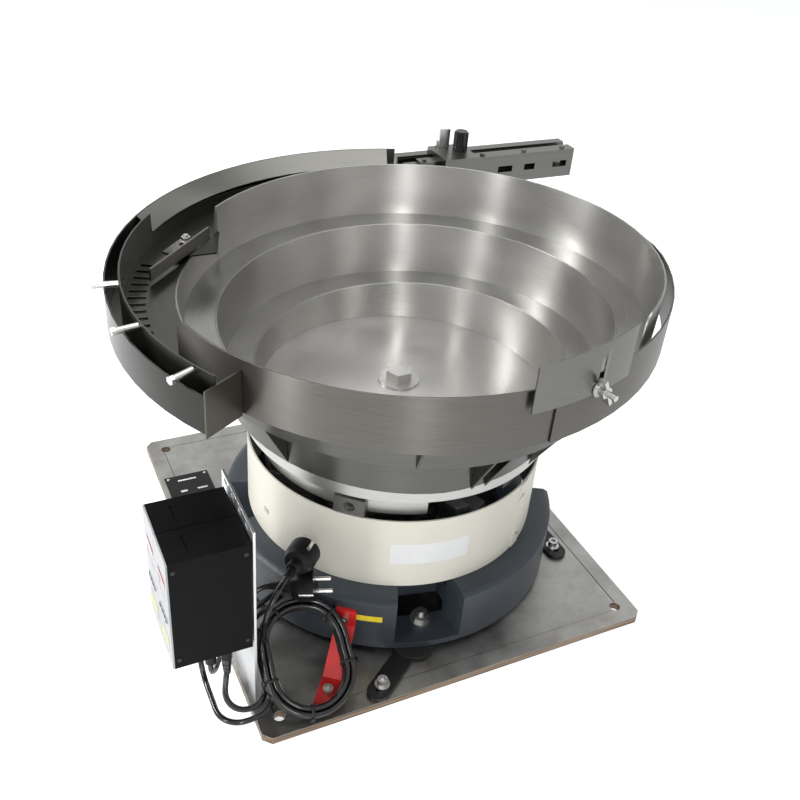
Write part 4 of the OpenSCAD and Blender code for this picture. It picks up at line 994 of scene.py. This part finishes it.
thin_leads = [lead for lead, _ in output_leads.values()]
for piece in (near_lead, far_lead, near_sleeve, far_sleeve, *thin_leads):
    paint(piece, lead_black)
for piece in ties:
    paint(piece, tie_black)
for body, metal, *_ in plugs.values():
    paint(body, moulded_black)
    paint(metal, pin_metal)
for pieces, mat, slot_name in (
    (windows, red_window, "red_paint"),
    (strips + [casting_label], yellow_label, "panel_grey"),
    (keys, black_label, "black_label"),
    ([case_screws], knob_black, "black_steel"),
    ([shroud_label, fields], white_label, "cream_paint"),
    ([shroud_tag, rivets], zinc, "zinc_steel"),
):
    for piece in pieces:
        paint(piece, mat)
print("leads, ties, plugs and fittings painted")

# %% [markdown]
# ## Floor, light and background
# A pale floor and a white background keep the machine plain. Soft lamps stand
# in for a studio: a broad one above, and three tall narrow ones, at the left,
# in front and behind, whose reflections are the upright streaks in the bowl.
# The floor and background are white for the camera and for what metal shows of
# them, and dimmer for the light that they give. The Light Path node tells these
# apart.


# %% Floor
def seen_directly(owner):
    """1 where the camera, a reflection or glass shows a thing, and 0 for its light."""
    rays = add(owner, "LightPath").outputs
    either = maths(owner, "MAXIMUM", rays["Is Camera Ray"], rays["Is Glossy Ray"])
    return maths(owner, "MAXIMUM", either, rays["Is Transmission Ray"])


bpy.ops.mesh.primitive_plane_add(size=80, location=(0, 0, -0.0005))
floor = bpy.context.object
floor.name = "floor"
floor.select_set(False)
floor_mat = new_material("pale_floor", (0.86, 0.86, 0.86), 0.9)
glow = shader_of(floor_mat).inputs
glow["Emission Color"].default_value = (1, 1, 1, 1)
link(floor_mat, maths(floor_mat, "MULTIPLY", seen_directly(floor_mat), 0.62),
     glow["Emission Strength"])
floor.data.materials.append(floor_mat)
print("floor", [round(v) for v in floor.dimensions], "m")

# %% World
world = bpy.data.worlds.new("studio")
bpy.context.scene.world = world
world.use_nodes = True
world.node_tree.nodes.clear()
dim = add(world, "Background", Color=(0.92, 0.95, 1.0, 1), Strength=0.36)
white = add(world, "Background", Color=(1, 1, 1, 1), Strength=1.0)
mix = add(world, "MixShader")
link(world, seen_directly(world), mix.inputs["Fac"])
link(world, dim.outputs["Background"], mix.inputs[1])
link(world, white.outputs["Background"], mix.inputs[2])
link(world, mix.outputs["Shader"], add(world, "OutputWorld").inputs["Surface"])
print("world", world.name)


# %% Lamps
def lamp(name, place, target, size, watts):
    bpy.ops.object.light_add(type="AREA", location=place)
    lit = bpy.context.object
    lit.name = name
    lit.data.shape = "RECTANGLE"
    lit.data.size, lit.data.size_y = size
    lit.data.energy = watts
    aim = Vector(target) - Vector(place)
    lit.rotation_euler = aim.to_track_quat("-Z", "Y").to_euler()
    lit.select_set(False)


lamp("lamp_top", (0.1, 0.2, 2.2), (0, 0, 0.25), (1.6, 1.2), 20)
lamp("lamp_left", (-1.75, -0.65, 0.85), (0, 0, 0.3), (0.2, 1.5), 13)
lamp("lamp_front", (-0.75, -2.1, 1.3), (0, 0, 0.2), (0.25, 1.4), 19)
lamp("lamp_back", (-1.65, 1.05, 1.6), (0, 0, 0.4), (0.16, 1.5), 34)
